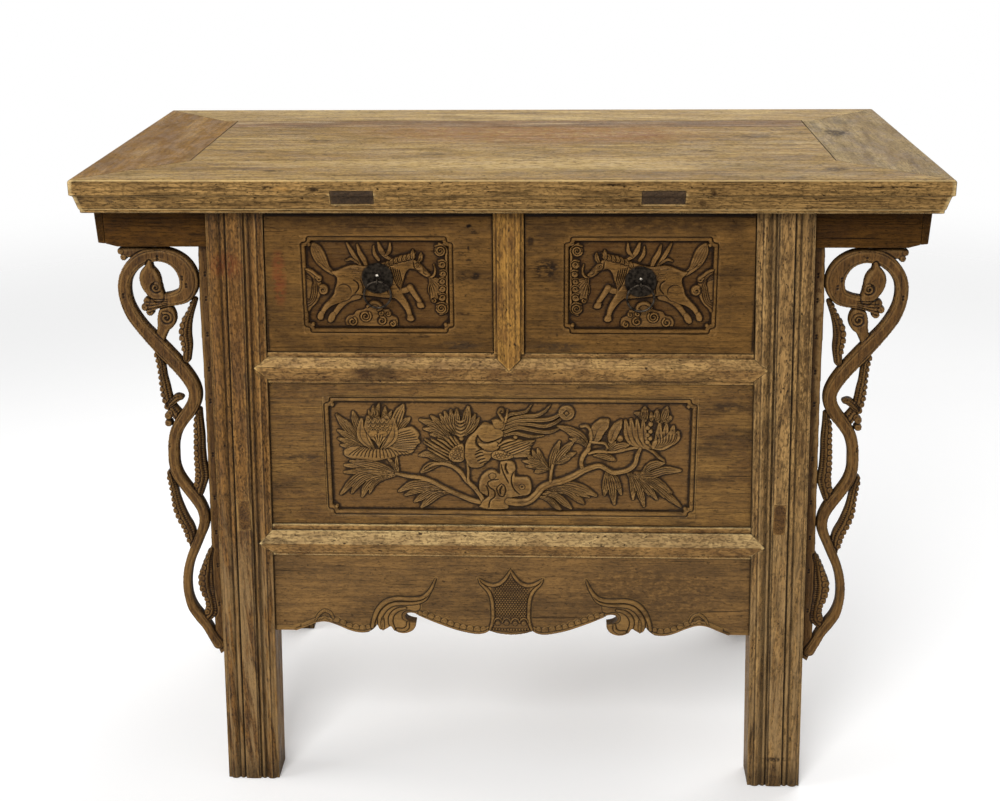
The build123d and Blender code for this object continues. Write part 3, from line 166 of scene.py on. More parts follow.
def waxed_elm(name, pale, brown, dark, along="x", bleached_and_lit=None, looks_up=(0.6, 0.98), rub_and_highlight=None, hollow=None,
              streaky=1.0, pitted=1.0, mottled=1.0, rub_and_highlight_share=0.5, dusty_foot=None, moulded=None, painted_gap_shade=None,
              apart=True, marks_at=(), polish=0.15):
    """Planed old elm under dark wax. The eye gets growth rings, long porous grain, dull dirt and painted
    shade in the hollows, corners and joints, paler rubbed arrises with a painted highlight, and dark end
    grain. pale, brown and dark are the colours of the lean wood, the waxed wood and the dirt and painted
    shade; the rub colour is that of rubbed arrises and painted highlights, hollow that of sunk grounds,
    and the bleached colour that of faces that look up, bleached and painted lighter for the light from
    above. Patterns are in millimetres. Elm's pores are 0.2 mm wide, and are drawn 1.5 mm wide so that
    they show; fibres, specks and cracks are drawn wider than life too."""
    elm = bpy.data.materials.new(name)
    elm.use_nodes = True
    elm.node_tree.nodes.clear()
    spot = add(elm, "TexCoord")
    facing = add(elm, "SeparateXYZ", {0: spot.outputs["Normal"]})
    place = add(elm, "SeparateXYZ", {0: spot.outputs["Object"]})
    grain = add(elm, "Mapping", {"Vector": spot.outputs["Object"], "Rotation": GRAIN_TURN[along],
                                 "Scale": (1000, 1000, 1000)})
    if apart:
        piece = add(elm, "ObjectInfo")
        shift = add(elm, "VectorMath", {0: (913, 571, 767), "Scale": piece.outputs["Random"]},
                    operation="SCALE")
        grain = add(elm, "VectorMath", {0: grain, 1: shift}, operation="ADD")

    def streaks(length, width, detail, start=0.0, full=None, rough=0.62):
        """Noise that long along the grain and that wide across it, shown from start to full."""
        drawn = add(elm, "VectorMath", {0: grain, 1: (1 / length, 1 / width, 1 / width)},
                    operation="MULTIPLY")
        drawn = add(elm, "TexNoise", {"Vector": drawn, "Scale": 1.0, "Detail": detail, "Roughness": rough})
        return add(elm, "MapRange", {0: drawn, 1: start, 2: full}, **SOFT) if full else drawn

    def lay(ground, over, *shares):
        """Lays a colour over another, in the product of those shares."""
        whole = shares[0]
        for share in shares[1:]:
            whole = add(elm, "Math", {0: whole, 1: share}, operation="MULTIPLY")
        return add(elm, "Mix", {0: whole, 6: ground, 7: linear(over)}, data_type="RGBA").outputs[2]

    # growth rings: the distance from the heart of the tree, bent by a slow wave, a year every RING_MM
    years = add(elm, "VectorMath", {0: grain, 1: (0.012, 1, 0.9)}, operation="MULTIPLY")
    years = add(elm, "VectorMath", {0: years}, operation="LENGTH").outputs["Value"]
    years = add(elm, "Math", {0: streaks(300, 46, 3), 1: 5 * RING_MM, 2: years}, operation="MULTIPLY_ADD")
    years = add(elm, "Math", {0: years, 1: 1 / RING_MM}, operation="MULTIPLY")
    years = add(elm, "Math", {0: years}, operation="FRACT")
    late = add(elm, "MapRange", {0: years, 1: 0.35, 2: 0.95}, **SOFT)
    ended = add(elm, "MapRange", {0: years, 1: 0.95, 2: 1.0, 3: 1.0, 4: 0.0}, **SOFT)
    late = add(elm, "Math", {0: late, 1: ended}, operation="MULTIPLY")
    tone = streaks(380, 60, 3, 0.38, 0.62)
    blotch = streaks(34, 20, 4, 0.38, 0.62)
    fibres = streaks(70, 2.4, 3, 0.48, 0.64, 0.7)
    pores = streaks(11, 1.5, 1.5, 0.58, 0.64)
    specks = streaks(6, 2.6, 2, 0.51, 0.60)
    pits = streaks(8, 3.6, 2, 0.66, 0.70)
    cracks = streaks(170, 3, 2, 0.69, 0.73)
    stains = streaks(110, 34, 5, 0.55, 0.70)

    # the wood's own colour, bleached and painted lighter for the light from above where it looks up, then
    # darkened by each mark in it
    blend = add(elm, "Math", {0: blotch, 1: 0.38 * mottled, 2: 0.12}, operation="MULTIPLY_ADD")
    blend = add(elm, "Math", {0: tone, 1: 0.40, 2: blend}, operation="MULTIPLY_ADD")
    colour = add(elm, "Mix", {0: blend, 6: linear(brown), 7: linear(pale)}, data_type="RGBA").outputs[2]
    side_on = 1.0
    if bleached_and_lit:
        upward = add(elm, "MapRange", {0: facing.outputs["Z"], 1: looks_up[0], 2: looks_up[1]})
        leaner = add(elm, "Math", {0: blend, 1: 0.8, 2: 0.25}, operation="MULTIPLY_ADD")
        colour = lay(colour, bleached_and_lit, leaner, upward)
        colour = lay(colour, brown, streaks(130, 17, 5, 0.46, 0.64), upward, 0.42)
        colour = lay(colour, rub_and_highlight, streaks(170, 26, 5, 0.48, 0.66), upward, 0.45)
        side_on = add(elm, "Math", {0: upward, 1: -0.3, 2: 1.0}, operation="MULTIPLY_ADD")
    for mark, share in ((late, 0.34), (fibres, 0.42), (pores, 0.55)):
        colour = lay(colour, dark, mark, share * streaky, side_on)
    for mark, share in ((specks, 0.30 * min(pitted, 1.6)), (stains, 0.40 * mottled),
                        (pits, 0.70 * min(pitted, 1.3)), (cracks, 0.80)):
        colour = lay(colour, dark, mark, share)
    if dusty_foot:
        for tint, start, full, patches, share in ((dusty_foot, 0.52, 0.22, (90, 7, 5, 0.40, 0.58), 0.75),
                                                  (dark, 0.60, 0.30, (60, 5, 4, 0.52, 0.66), 0.42)):
            low_down = add(elm, "MapRange", {0: place.outputs["Z"], 1: start, 2: full}, **SOFT)
            colour = lay(colour, tint, low_down, streaks(*patches), share)
        at_floor = add(elm, "MapRange", {0: place.outputs["Z"], 1: 0.045, 2: 0.012}, **SOFT)
        colour = lay(colour, dark, at_floor, 0.45)

    # dirt and painted shade and painted highlight along a moulding: a cut drawn as a dark line (over 0) and a
    # raised arris as a painted light line (under 0), at a place and of a half width in mm
    from_front = add(elm, "MapRange", {0: facing.outputs["Y"], 1: -0.35, 2: -0.75}, **SOFT)
    if moulded:
        from_side, marks = moulded
        width = add(elm, "VectorMath", {0: spot.outputs["Object"], 1: from_side[:3]}, operation="DOT_PRODUCT")
        width = add(elm, "Math", {0: width.outputs["Value"], 1: 1000 / LINES_SPAN_MM,
                                  2: from_side[3] * 1000 / LINES_SPAN_MM}, operation="MULTIPLY_ADD")
        for first in range(0, len(marks), LINES_IN_A_RAMP):
            lines = add(elm, "ValToRGB", {0: width})
            stops = [stop for middle, half, depth in marks[first:first + LINES_IN_A_RAMP]
                     for stop in ((middle - half, 0.0), (middle, depth), (middle + half, 0.0))]
            ends = lines.color_ramp.elements
            ends[1].position, ends[0].position = stops[-1][0] / LINES_SPAN_MM, stops[0][0] / LINES_SPAN_MM
            for at, _depth in stops[1:-1]:
                ends.new(at / LINES_SPAN_MM)
            for stop, (_at, depth) in zip(ends, stops):
                stop.color = (0.5 + depth / 2,) * 3 + (1,)
            for tint, end in ((dark, 1.0), (rub_and_highlight, 0.0)):
                line = add(elm, "MapRange", {0: lines, 1: 0.5, 2: end}, **SOFT)
                colour = lay(colour, tint, line, from_front, 0.9)
    # painted shade: a dark line just inside the front's outline, for the shade in the gap round the drawer
    if painted_gap_shade:
        cx, cz, half_x, half_z = painted_gap_shade
        inner = add(elm, "VectorMath", {0: spot.outputs["Object"]}, operation="ABSOLUTE")
        inner = add(elm, "VectorMath", {0: inner, 1: (cx, 0, cz)}, operation="SUBTRACT")
        inner = add(elm, "VectorMath", {0: inner}, operation="ABSOLUTE")
        inner = add(elm, "VectorMath", {0: (half_x, 0, half_z), 1: inner}, operation="SUBTRACT")
        inner = add(elm, "SeparateXYZ", {0: inner})
        edge = add(elm, "Math", {0: inner.outputs["X"], 1: inner.outputs["Z"]}, operation="MINIMUM")
        edge = add(elm, "MapRange", {0: edge, 1: 0.0034, 2: 0.0006}, **SOFT)
        colour = lay(colour, dark, edge, from_front, 0.95)

    # single marks, stains and here and there a painted shadow, each a middle, a reach in x, y and z in mm, a
    # colour and a strength
    speckle = streaks(9, 5, 4, 0.36, 0.56) if marks_at else None
    for middle, reach, tint, strength in marks_at:
        off = add(elm, "VectorMath", {0: spot.outputs["Object"], 1: [c / 1000 for c in middle]},
                  operation="SUBTRACT")
        off = add(elm, "VectorMath", {0: off, 1: [1000 / r for r in reach]}, operation="MULTIPLY")
        off = add(elm, "VectorMath", {0: off}, operation="LENGTH").outputs["Value"]
        patch = add(elm, "MapRange", {0: off, 1: 1.0, 2: 0.35}, **SOFT)
        colour = lay(colour, tint, patch, speckle, strength)
    end_on = add(elm, "Math", {0: facing.outputs[{"x": "X", "y": "Y"}.get(along, "Z")]}, operation="ABSOLUTE")
    end_on = add(elm, "MapRange", {0: end_on, 1: 0.85, 2: 0.97}, **SOFT)
    colour = lay(colour, dark, end_on, 0.40)

    # dirt and painted shade in what lies deep, in joints and corners and under the top; wax rubbed off, with
    # a painted highlight, on what stands proud and on arrises
    sunk = add(elm, "Attribute", attribute_name="sunk").outputs["Fac"]
    dirt_wear_and_painted_light = add(elm, "Attribute", attribute_name="dirt_wear_and_painted_light").outputs["Fac"]
    if hollow:
        patchy = add(elm, "Math", {0: blotch, 1: 0.55, 2: 0.45}, operation="MULTIPLY_ADD")
        colour = lay(colour, hollow, sunk, patchy, 0.75)
    # painted shade: the carving's dark cuts and halos, and ambient occlusion reaching 6 mm and 2.2 mm into
    # cuts and joints and 50 mm under the top and round the drawers, darken the colour
    deep = add(elm, "MapRange", {0: dirt_wear_and_painted_light, 1: -0.06, 2: -0.55}, **SOFT)
    for reach, samples, start, full, most in ((0.006, 4, 0.82, 0.34, 1.0), (0.0022, 3, 0.92, 0.60, 1.0),
                                              (0.05, 3, 0.80, 0.20, 0.72)):
        occlusion_shade = add(elm, "AmbientOcclusion", {"Distance": reach}, samples=samples).outputs["AO"]
        occlusion_shade = add(elm, "MapRange", {0: occlusion_shade, 1: start, 2: full, 4: most}, **SOFT)
        deep = add(elm, "Math", {0: deep, 1: occlusion_shade}, operation="MAXIMUM")
    # wear with a painted highlight: arrises found by ambient occlusion from inside, and the carving's crowns
    # and slopes turned to the light, take the rub colour
    arris = add(elm, "AmbientOcclusion", {"Distance": 0.005},
                samples=4, inside=True, only_local=True).outputs["AO"]
    arris = add(elm, "MapRange", {0: arris, 1: 0.72, 2: 0.45}, **SOFT)
    level_ground = add(elm, "Math", {0: 1.0, 1: sunk}, operation="SUBTRACT")
    arris = add(elm, "Math", {0: arris, 1: level_ground}, operation="MULTIPLY")
    high = add(elm, "MapRange", {0: dirt_wear_and_painted_light, 1: 0.10, 2: 0.60}, **SOFT)
    high = add(elm, "Math", {0: arris, 1: high}, operation="MAXIMUM")
    colour = lay(colour, rub_and_highlight or pale, high, streaks(40, 9, 4, 0.28, 0.56), rub_and_highlight_share)
    colour = lay(colour, dark, deep, 0.88)

    rise = 0.0
    for layer, share in ((late, -0.7 * streaky), (pores, -0.6 * streaky), (fibres, -0.5 * streaky),
                         (pits, -1.6 * pitted), (specks, -0.8 * pitted), (cracks, -1.6),
                         (streaks(24, 16, 2, 0.3, 0.7), 0.9)):
        rise = add(elm, "Math", {0: layer, 1: share, 2: rise}, operation="MULTIPLY_ADD")
    relief = add(elm, "Bump", {"Height": rise, "Strength": 0.8, "Distance": 0.0007})
    sheen = add(elm, "MapRange", {0: blotch, 3: 0.44, 4: 0.62})
    skin = add(elm, "BsdfPrincipled", {"Base Color": colour, "Roughness": sheen, "IOR": 1.5,
                                       "Specular IOR Level": polish, "Normal": relief})
    add(elm, "OutputMaterial", {"Surface": skin})
    return elm


MERGE_WITHIN, FLAT_WITHIN, POCKET_SLACK_MM = 1e-5, math.radians(0.5), 0.05
ARRIS_FROM, SMOOTH_UP_TO = math.radians(28), math.radians(40)


def worn_copy(node, material, arris=0.0012, segments=2, pocket=None):
    """A copy of a CAD piece with its arrises rubbed round, which stands in for it. A pocket, the
    corners of a sunk field and its floor in mm, is cleared square for a carving to be let in."""
    original = frame["nodes"][node]
    piece = bpy.data.objects.new("worn_" + node, original.data.copy())
    scene.collection.objects.link(piece)
    bpy.ops.object.select_all(action="DESELECT")
    bpy.context.view_layer.objects.active = piece
    piece.select_set(True)
    bpy.ops.object.mode_set(mode="EDIT")
    bpy.ops.mesh.select_all(action="SELECT")
    bpy.ops.mesh.remove_doubles(threshold=MERGE_WITHIN)
    bpy.ops.mesh.dissolve_limited(angle_limit=FLAT_WITHIN)
    if pocket:
        low, high, floor_y = pocket
        bpy.ops.mesh.select_all(action="DESELECT")
        bpy.ops.object.mode_set(mode="OBJECT")
        for face in piece.data.polygons:
            corners = [piece.data.vertices[v].co * 1000 for v in face.vertices]
            face.select = all(low[k] - POCKET_SLACK_MM < c[k] < high[k] + POCKET_SLACK_MM
                              for c in corners for k in range(3))
        bpy.ops.object.mode_set(mode="EDIT")
        bpy.ops.mesh.delete(type="FACE")
        bpy.ops.mesh.select_all(action="SELECT")
        bpy.ops.mesh.delete_loose()
        bpy.ops.mesh.select_all(action="DESELECT")
        bpy.ops.mesh.select_non_manifold()
        bpy.ops.mesh.extrude_edges_move(TRANSFORM_OT_translate={"value": (0, (floor_y - low[1]) / 1000, 0)})
        bpy.ops.mesh.edge_face_add()
        bpy.ops.mesh.select_all(action="SELECT")
        bpy.ops.mesh.normals_make_consistent(inside=False)
    bpy.ops.object.mode_set(mode="OBJECT")
    soften = piece.modifiers.new("rubbed arris", "BEVEL")
    soften.width = arris
    soften.segments = segments
    soften.limit_method = "ANGLE"
    soften.angle_limit = ARRIS_FROM
    level_out = piece.modifiers.new("flat faces", "WEIGHTED_NORMAL")
    bpy.ops.object.shade_smooth_by_angle(angle=SMOOTH_UP_TO)
    level_out.keep_sharp = True
    for modifier in [m.name for m in piece.modifiers]:
        bpy.ops.object.modifier_apply(modifier=modifier)
    piece.data.materials.clear()
    piece.data.materials.append(material)
    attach(piece, original["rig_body"])
    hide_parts(node)


TOP_COLOURS = {"pale": "#ab8650", "brown": "#7f6036", "dark": "#281a0b", "rub_and_highlight": "#cfb27c", "polish": 0.06,
               "rub_and_highlight_share": 0.75}
TOP_MARKS = (((30, 62, 880), (330, 120, 9), "#875833", 0.62), ((60, 128, 880), (300, 40, 9), "#7a5236", 0.5),
             ((20, -165, 880), (400, 62, 9), "#cdb078", 0.55),
             ((-330, 130, 880), (120, 40, 9), "#5e4a33", 0.5),
             ((-271, -3, 880), (26, 15, 9), "#4c3820", 0.85), ((-369, -81, 880), (10, 9, 9), "#4c3820", 0.8),
             ((-245, -106, 880), (9, 8, 9), "#42301b", 0.8), ((-299, -216, 880), (20, 7, 9), "#33220f", 0.9),
             ((-337, -201, 880), (26, 6, 9), "#4c3820", 0.7),
             ((411, -204, 880), (22, 20, 9), "#45331d", 0.85),
             ((505, -230, 880), (18, 8, 9), "#33220f", 0.85), ((334, 31, 880), (46, 22, 9), "#574532", 0.75),
             ((260, -78, 880), (34, 13, 9), "#4c3820", 0.8), ((177, 32, 880), (60, 44, 9), "#7d5232", 0.6),
             ((-297, -272, 870), (10, 9, 3.5), "#201206", 0.9),
             ((-240, -272, 868), (13, 9, 3.5), "#201206", 0.9),
             ((-362, -272, 870), (15, 9, 5), "#2c1b0b", 0.7), ((-279, -272, 868), (14, 9, 5), "#a97f45", 0.8),
             ((251, -270, 862), (8, 9, 9), "#201206", 0.9), ((240, -268, 850), (6, 9, 7), "#2c1b0b", 0.9),
             ((149, -270, 853), (13, 9, 3), "#201206", 0.85),
             ((128, -272, 874), (22, 9, 1.8), "#201206", 0.9),
             ((470, -272, 871), (62, 9, 1.5), "#1c1107", 0.95),
             ((-495, -268, 854), (9, 9, 9), "#3b3026", 0.6), ((-535, -268, 853), (16, 9, 7), "#3b2d1f", 0.6))
# painted lines of shade and highlight down the front edge's moulding: place, half width, dark (over 0) or
# light (under 0)
EDGE_LINES = ((1.2, 1.3, -0.95), (3.2, 0.7, 0.4), (19.6, 1.0, 0.7), (21.4, 0.7, -0.5), (33.0, 3.0, 0.25),
              (37.2, 0.8, 0.7), (38.9, 0.9, -0.8), (40.8, 0.7, 0.6), (43.4, 1.0, 0.9))
# The front rail and the wide board: planed along, dry and grey-gold where the wax has gone.
elm_top_long = waxed_elm("weathered elm, planed long", **TOP_COLOURS, bleached_and_lit="#a98b54", streaky=1.1,
                         pitted=1.3, marks_at=TOP_MARKS, moulded=((0, 0, -1, 0.88), EDGE_LINES))
# The back rail, the palest of the top.
elm_top_back = waxed_elm("weathered elm, back rail", **TOP_COLOURS, bleached_and_lit="#c6ab76")
# The right end rail, dull brown with dark knots.
elm_top_right = waxed_elm("weathered elm, right end rail", pale="#8a6d42", brown="#654a2a", dark="#33240f",
                          bleached_and_lit="#957f56", rub_and_highlight="#b59d6c", along="y", polish=0.06, mottled=1.1, streaky=0.8,
                          marks_at=(((455, 56, 880), (26, 36, 9), "#352718", 0.9),
                                    ((477, 151, 880), (32, 26, 9), "#5f5240", 0.7),
                                    ((491, -122, 880), (26, 70, 9), "#6f5432", 0.5)))
# The left end rail, redder and more even.
elm_top_left = waxed_elm("weathered elm, left end rail", pale="#8a6536", brown="#66471f", dark="#3a260c",
                         bleached_and_lit="#8f6a33", rub_and_highlight="#b08e58", along="y", polish=0.06, mottled=0.8, streaky=0.8,
                         marks_at=(((-496, 17, 880), (34, 80, 9), "#644520", 0.7),
                                   ((-474, -142, 880), (26, 60, 9), "#6a4b25", 0.6)))
# The narrow back board, from another tree: darker and pinker.
elm_back_board = waxed_elm("darker weathered elm board", pale="#8f7048", brown="#614726", dark="#20150a",
                           bleached_and_lit="#947352", rub_and_highlight="#d6bb8a", polish=0.06)
# The battens, never waxed, and dark with age: their tenons show as dark patches in the front edge.
elm_batten = waxed_elm("dark elm battens", pale="#5d4730", brown="#453320", dark="#1c130b", along="y")
for node, wood, slot, arris in (("top_front_rail", elm_top_long, "elm_top", 0.0016),
                                ("top_back_rail", elm_top_back, "elm_top", 0.0024),
                                ("top_panel_wide_board", elm_top_long, "elm_top", 0.0018),
                                ("top_left_end_rail", elm_top_left, "elm_top", 0.0016),
                                ("top_right_end_rail", elm_top_right, "elm_top", 0.0016),
                                ("top_panel_back_board", elm_back_board, "elm_top", 0.0022),
                                ("top_battens", elm_batten, "elm_inside", 0.0004)):
    worn_copy(node, wood, arris)


# ---- Legs ----
# Four elm legs, the front pair moulded with strips, reeds and beads down their faces,
# splayed a little and worn round at the feet, which are pale with dust and bare patches.
LEFT_LEG_MARKS = (((-360, -237, 762), (28, 6, 24), "#6a2a12", 0.7),
                  ((-352, -237, 715), (44, 6, 120), "#553614", 0.55))
RIGHT_LEG_MARKS = (((373, -237, 44), (30, 6, 5), "#2a1c0f", 0.9),
                   ((381, -238, 640), (9, 6, 240), "#4c3518", 0.75))
# painted lines of shade and highlight along the legs' reeds and beads: place, half width, dark (over 0) or
# light (under 0)
LEG_LINES = ((1.0, 0.9, 0.8), (2.6, 0.6, -0.4), (4.6, 0.7, 0.6), (8.8, 0.7, 0.5), (13.2, 0.7, 0.5),
             (15.6, 0.5, -0.4), (17.3, 1.0, 0.8), (22.9, 0.5, -0.3), (24.6, 1.1, 0.95), (33.0, 0.6, 0.25),
             (42.9, 0.7, -0.5), (45.6, 1.8, 1.0), (50.3, 0.7, -0.6), (53.6, 1.9, 0.9), (57.0, 0.7, -0.4),
             (62.9, 0.7, -0.6), (65.2, 1.4, 0.9), (69.6, 0.6, 0.3), (73.0, 1.4, 0.9))
LEG_WEAR = {"streaky": 0.85, "pitted": 1.6, "mottled": 1.4, "dusty_foot": "#9c7d52"}
LEG_SIDE_M = 0.409
# The left legs have kept more wax, and have a red patch and a bruise near the top.
elm_left_leg = waxed_elm("waxed elm, left legs", pale="#8b6230", brown="#5a3e24", dark="#160d05",
                         rub_and_highlight="#b58f54", along="left leg", marks_at=LEFT_LEG_MARKS,
                         moulded=((1, 0, -LEG_SPLAY, LEG_SIDE_M), LEG_LINES), **LEG_WEAR)
# The right legs are paler, with a dark streak and a nick by the foot.
elm_right_leg = waxed_elm("waxed elm, right legs", pale="#b28b54", brown="#7f5e35", dark="#1b1108",
                          rub_and_highlight="#c9a46b", along="right leg", marks_at=RIGHT_LEG_MARKS,
                          moulded=((-1, 0, -LEG_SPLAY, LEG_SIDE_M), LEG_LINES), **LEG_WEAR)
for side, wood in (("left", elm_left_leg), ("right", elm_right_leg)):
    worn_copy(f"front_{side}_leg", wood, arris=0.0006)
    worn_copy(f"back_{side}_leg", wood, arris=0.0015)


# ---- Rails and post ----
# Elm rails tenoned into the legs, front and back, and a short post between the drawers; the
# front ones are ridged, with pointed ends lapped over the legs, and pale along the ridge.
RAIL_WEAR_AND_LIGHT = {"pale": "#a27b46", "brown": "#6c4b26", "dark": "#261507", "streaky": 0.55, "pitted": 1.5,
             "mottled": 1.7, "rub_and_highlight_share": 0.8, "looks_up": (0.15, 0.5)}
# painted lines of shade and highlight across the post's reeds: place, half width, dark (over 0) or light
# (under 0)
POST_LINES = ((5.0, 1.2, 0.8), (8.0, 0.8, -0.5), (14.0, 0.9, 0.6), (22.0, 0.7, 0.4), (26.5, 0.8, 0.5),
              (29.0, 0.7, -0.5), (38.0, 1.1, 0.7), (40.5, 0.7, -0.4), (47.0, 1.0, 0.6), (53.5, 1.2, 0.8))
# Waxed rails, rubbed along their upper slopes by hands on the drawers, and painted pale there for the light
# from above.
elm_rail = waxed_elm("waxed elm, rails, with a painted highlight", rub_and_highlight="#d3ac69", bleached_and_lit="#bd9a62", **RAIL_WEAR_AND_LIGHT)
# The lower rails, where cloths and knees have taken nearly all the wax off the upper slope, and where that
# slope is painted palest of all for the light from above.
elm_lower_rail = waxed_elm("waxed elm, lower rails, with a painted highlight", rub_and_highlight="#e4c486", bleached_and_lit="#f4d99c", **RAIL_WEAR_AND_LIGHT)
# The post, reeded like the legs, and the most golden piece of the front.
elm_post = waxed_elm("waxed elm, posts", pale="#ab7d38", brown="#6c4822", dark="#241406", rub_and_highlight="#cba05b",
                     along="z", streaky=0.9, pitted=1.3, mottled=1.4, apart=False,
                     moulded=((1, 0, 0, 0.03), POST_LINES))
for side in ("front", "back"):
    worn_copy(f"{side}_middle_rail", elm_rail, arris=0.0009)
    worn_copy(f"{side}_lower_rail", elm_lower_rail, arris=0.0009)
worn_copy("drawer_divider_post", elm_post, arris=0.0008)


# ---- Side frames and back boards ----
# Three plain rails at each end with a board in their grooves beside the drawers and another
# beside the compartment, and two boards across the back, all of thin waxed elm.
FRAME_COLOURS = {"pale": "#9c7039", "brown": "#64421f", "dark": "#190f06", "rub_and_highlight": "#b58b50"}
# The ends are waxed as the front is, with grain from front to back.
elm_side = waxed_elm("waxed elm, side rails", **FRAME_COLOURS, along="y")
# The back boards, plainer and with fewer stains.
elm_back = waxed_elm("waxed elm, back boards", **FRAME_COLOURS, mottled=0.8)
for side in ("left", "right"):
    for part, arris in (("top_rail", 0.0012), ("middle_rail", 0.0012), ("lower_rail", 0.0012),
                        ("upper_panel", 0.0008), ("lower_panel", 0.0008)):
        worn_copy(f"{side}_side_{part}", elm_side, arris)
for part in ("upper", "lower"):
    worn_copy(f"back_{part}_panel", elm_back, arris=0.0008)


# ---- Drawer fronts ----
# Each front is one thick elm board with a sunk field, in which a galloping horse with a saddle
# cloth and ribbons runs over scrolled clouds. The right one is its mirror image.
class Carving:
    """A field of wood being carved: the height in mm over the ground at each point of a fine grid. An
    element at a time is set in over the dug-out ground, each with its own height, and a line is sunk
    round it where it lies over another."""

    def __init__(self, x0, x1, z0, z1, pitch, ground):
        self.pitch, self.across = pitch, round((x1 - x0) / pitch)
        self.xs = np.linspace(x0, x1, self.across + 1)
        self.zs = np.linspace(z0, z1, round((z1 - z0) / pitch) + 1)
        self.x, self.z = np.meshgrid(self.xs, self.zs)
        self.height = np.full(self.x.shape, float(ground))
        self.inside = np.full(self.x.shape, -1e3)
        self.calm, self.shade = np.ones(self.x.shape), np.zeros(self.x.shape)

    def near(self, points, reach):
        """The part of the grid within reach of some points."""
        p = np.asarray(points, float)
        i0, i1 = np.searchsorted(self.xs, (p[:, 0].min() - reach, p[:, 0].max() + reach))
        j0, j1 = np.searchsorted(self.zs, (p[:, 1].min() - reach, p[:, 1].max() + reach))
        return (slice(j0, max(j1, j0 + 1)), slice(i0, max(i1, i0 + 1)))

    def set_in(self, part, inside, top, moat=1.5, sink=0.9, floor=0.15):
        """Sets an element into the carving: inside is the distance in from its edge, top its height."""
        h = self.height[part]
        soft = np.clip(inside / (1.5 * self.pitch) + 0.5, 0, 1)
        round_it = np.clip(1 + inside / moat, 0, 1) ** 2
        sunk = np.maximum(h - sink * round_it, np.minimum(h, floor))
        self.height[part] = sunk * (1 - soft) + top * soft
        self.inside[part] = np.maximum(self.inside[part], inside)

    def bend(self, points, steps=6):
        """A smooth line through points, each of them (x, z) or (x, z, half width)."""
        p = np.asarray(points, float)
        if len(p) < 3:
            t = np.linspace(0, 1, steps * 2)[:, None]
            return p[0] * (1 - t) + p[-1] * t
        ends = np.vstack([2 * p[0] - p[1], p, 2 * p[-1] - p[-2]])
        t = np.linspace(0, 1, steps, endpoint=False)[:, None]
        out = [0.5 * (2 * b + (c - a) * t + (2 * a - 5 * b + 4 * c - d) * t ** 2
                      + (3 * b - a - 3 * c + d) * t ** 3)
               for a, b, c, d in zip(ends, ends[1:], ends[2:], ends[3:])]
        return np.vstack(out + [p[-1:]])

    def along(self, line, widths, reach=2.0):
        """Where the grid lies from a line: the part near it, the distance in from the edge of a band of
        those half widths, the share of the line's length, and the place across the band from -1 to 1."""
        part = self.near(line, widths.max() + reach)
        x, z = self.x[part], self.z[part]
        best = np.full(x.shape, -1e3)
        share, side = np.zeros(x.shape), np.zeros(x.shape)
        steps = np.hypot(*np.diff(line[:, :2], axis=0).T)
        done = np.concatenate([[0], np.cumsum(steps)])
        for k in range(len(steps)):
            if steps[k] < 1e-9:
                continue
            ax, az = line[k, :2]
            dx, dz = (line[k + 1, :2] - line[k, :2]) / steps[k]
            t = np.clip((x - ax) * dx + (z - az) * dz, 0, steps[k])
            ex, ez = x - ax - dx * t, z - az - dz * t
            far = np.hypot(ex, ez)
            w = widths[k] + (widths[k + 1] - widths[k]) * t / steps[k]
            new = w - far
            win = new > best
            best[win] = new[win]
            share[win] = ((done[k] + t) / done[-1])[win]
            side[win] = (np.sign(dx * ez - dz * ex) * far / np.maximum(w, 0.2))[win]
        return part, best, share, np.clip(side, -1, 1), done[-1]

    def band(self, points, height, crown=0.8, groove=0.0, beads=0.0, lines=0, line_depth=0.35, moat=1.5,
             sink=0.9):
        """A rounded stem, limb or feather through (x, z, half width) points, with a groove down its
        middle, or beads, or fine lines along it."""
        line = self.bend(points)
        part, inside, share, side, length = self.along(line, np.maximum(line[:, 2], 0.25))
        top = height - crown * side ** 2
        if groove:
            top = top - groove * np.exp(-(side / 0.22) ** 2)
        if lines:
            top = top - line_depth * (0.5 + 0.5 * np.cos(math.pi * lines * (side + 1)))
        if beads:
            top = top + 0.45 * np.cos(2 * math.pi * share * length / beads)
        self.set_in(part, inside, top, moat, sink)

    def leaf(self, points, widest, height, cup=0.5, ribs=0, rib_depth=0.35, vein=0.9, flute=0.0,
             shape=(0.2, 0.75, 1, 0.86, 0.28), moat=1.5, sink=0.9):
        """A leaf or petal on a curved midrib: cupped, with a sunk vein, slanting side veins or flutes."""
        line = self.bend(points)[:, :2]
        share = np.linspace(0, 1, len(line))
        widths = widest * np.interp(share, np.linspace(0, 1, len(shape)), shape)
        part, inside, share, side, length = self.along(line, widths)
        top = height + cup * (side ** 2 - 0.5) - 0.25 * cup * share
        if ribs:
            turn = share * length - 1.3 * np.abs(side) * widest
            wave = 0.5 + 0.5 * np.cos(2 * math.pi * turn / ribs)
            top = top - rib_depth * wave * np.clip(np.abs(side) * 4, 0, 1)
        if vein:
            top = top - vein * np.exp(-(side / 0.17) ** 2) * (1 - 0.6 * share)
        if flute:
            fading = np.clip(3.2 * (1 - share), 0, 1)
            top = top - flute * np.exp(-((np.abs(side) - 0.56) / 0.15) ** 2) * fading
        self.set_in(part, inside, top, moat, sink)

    def fan(self, root, tips, widest, height, bow=0.12, **leaf):
        """Several lobes spreading from one root, the middle ones over the outer ones."""
        root = np.asarray(root, float)
        middle = (len(tips) - 1) / 2
        for k in sorted(range(len(tips)), key=lambda k: -abs(k - middle)):
            tip = np.asarray(tips[k], float)
            way = tip - root
            off = np.array([-way[1], way[0]]) * bow * np.sign(middle - k + 1e-9)
            self.leaf([root, root + way * 0.5 + off, tip], widest, height, **leaf)
            height += 0.12

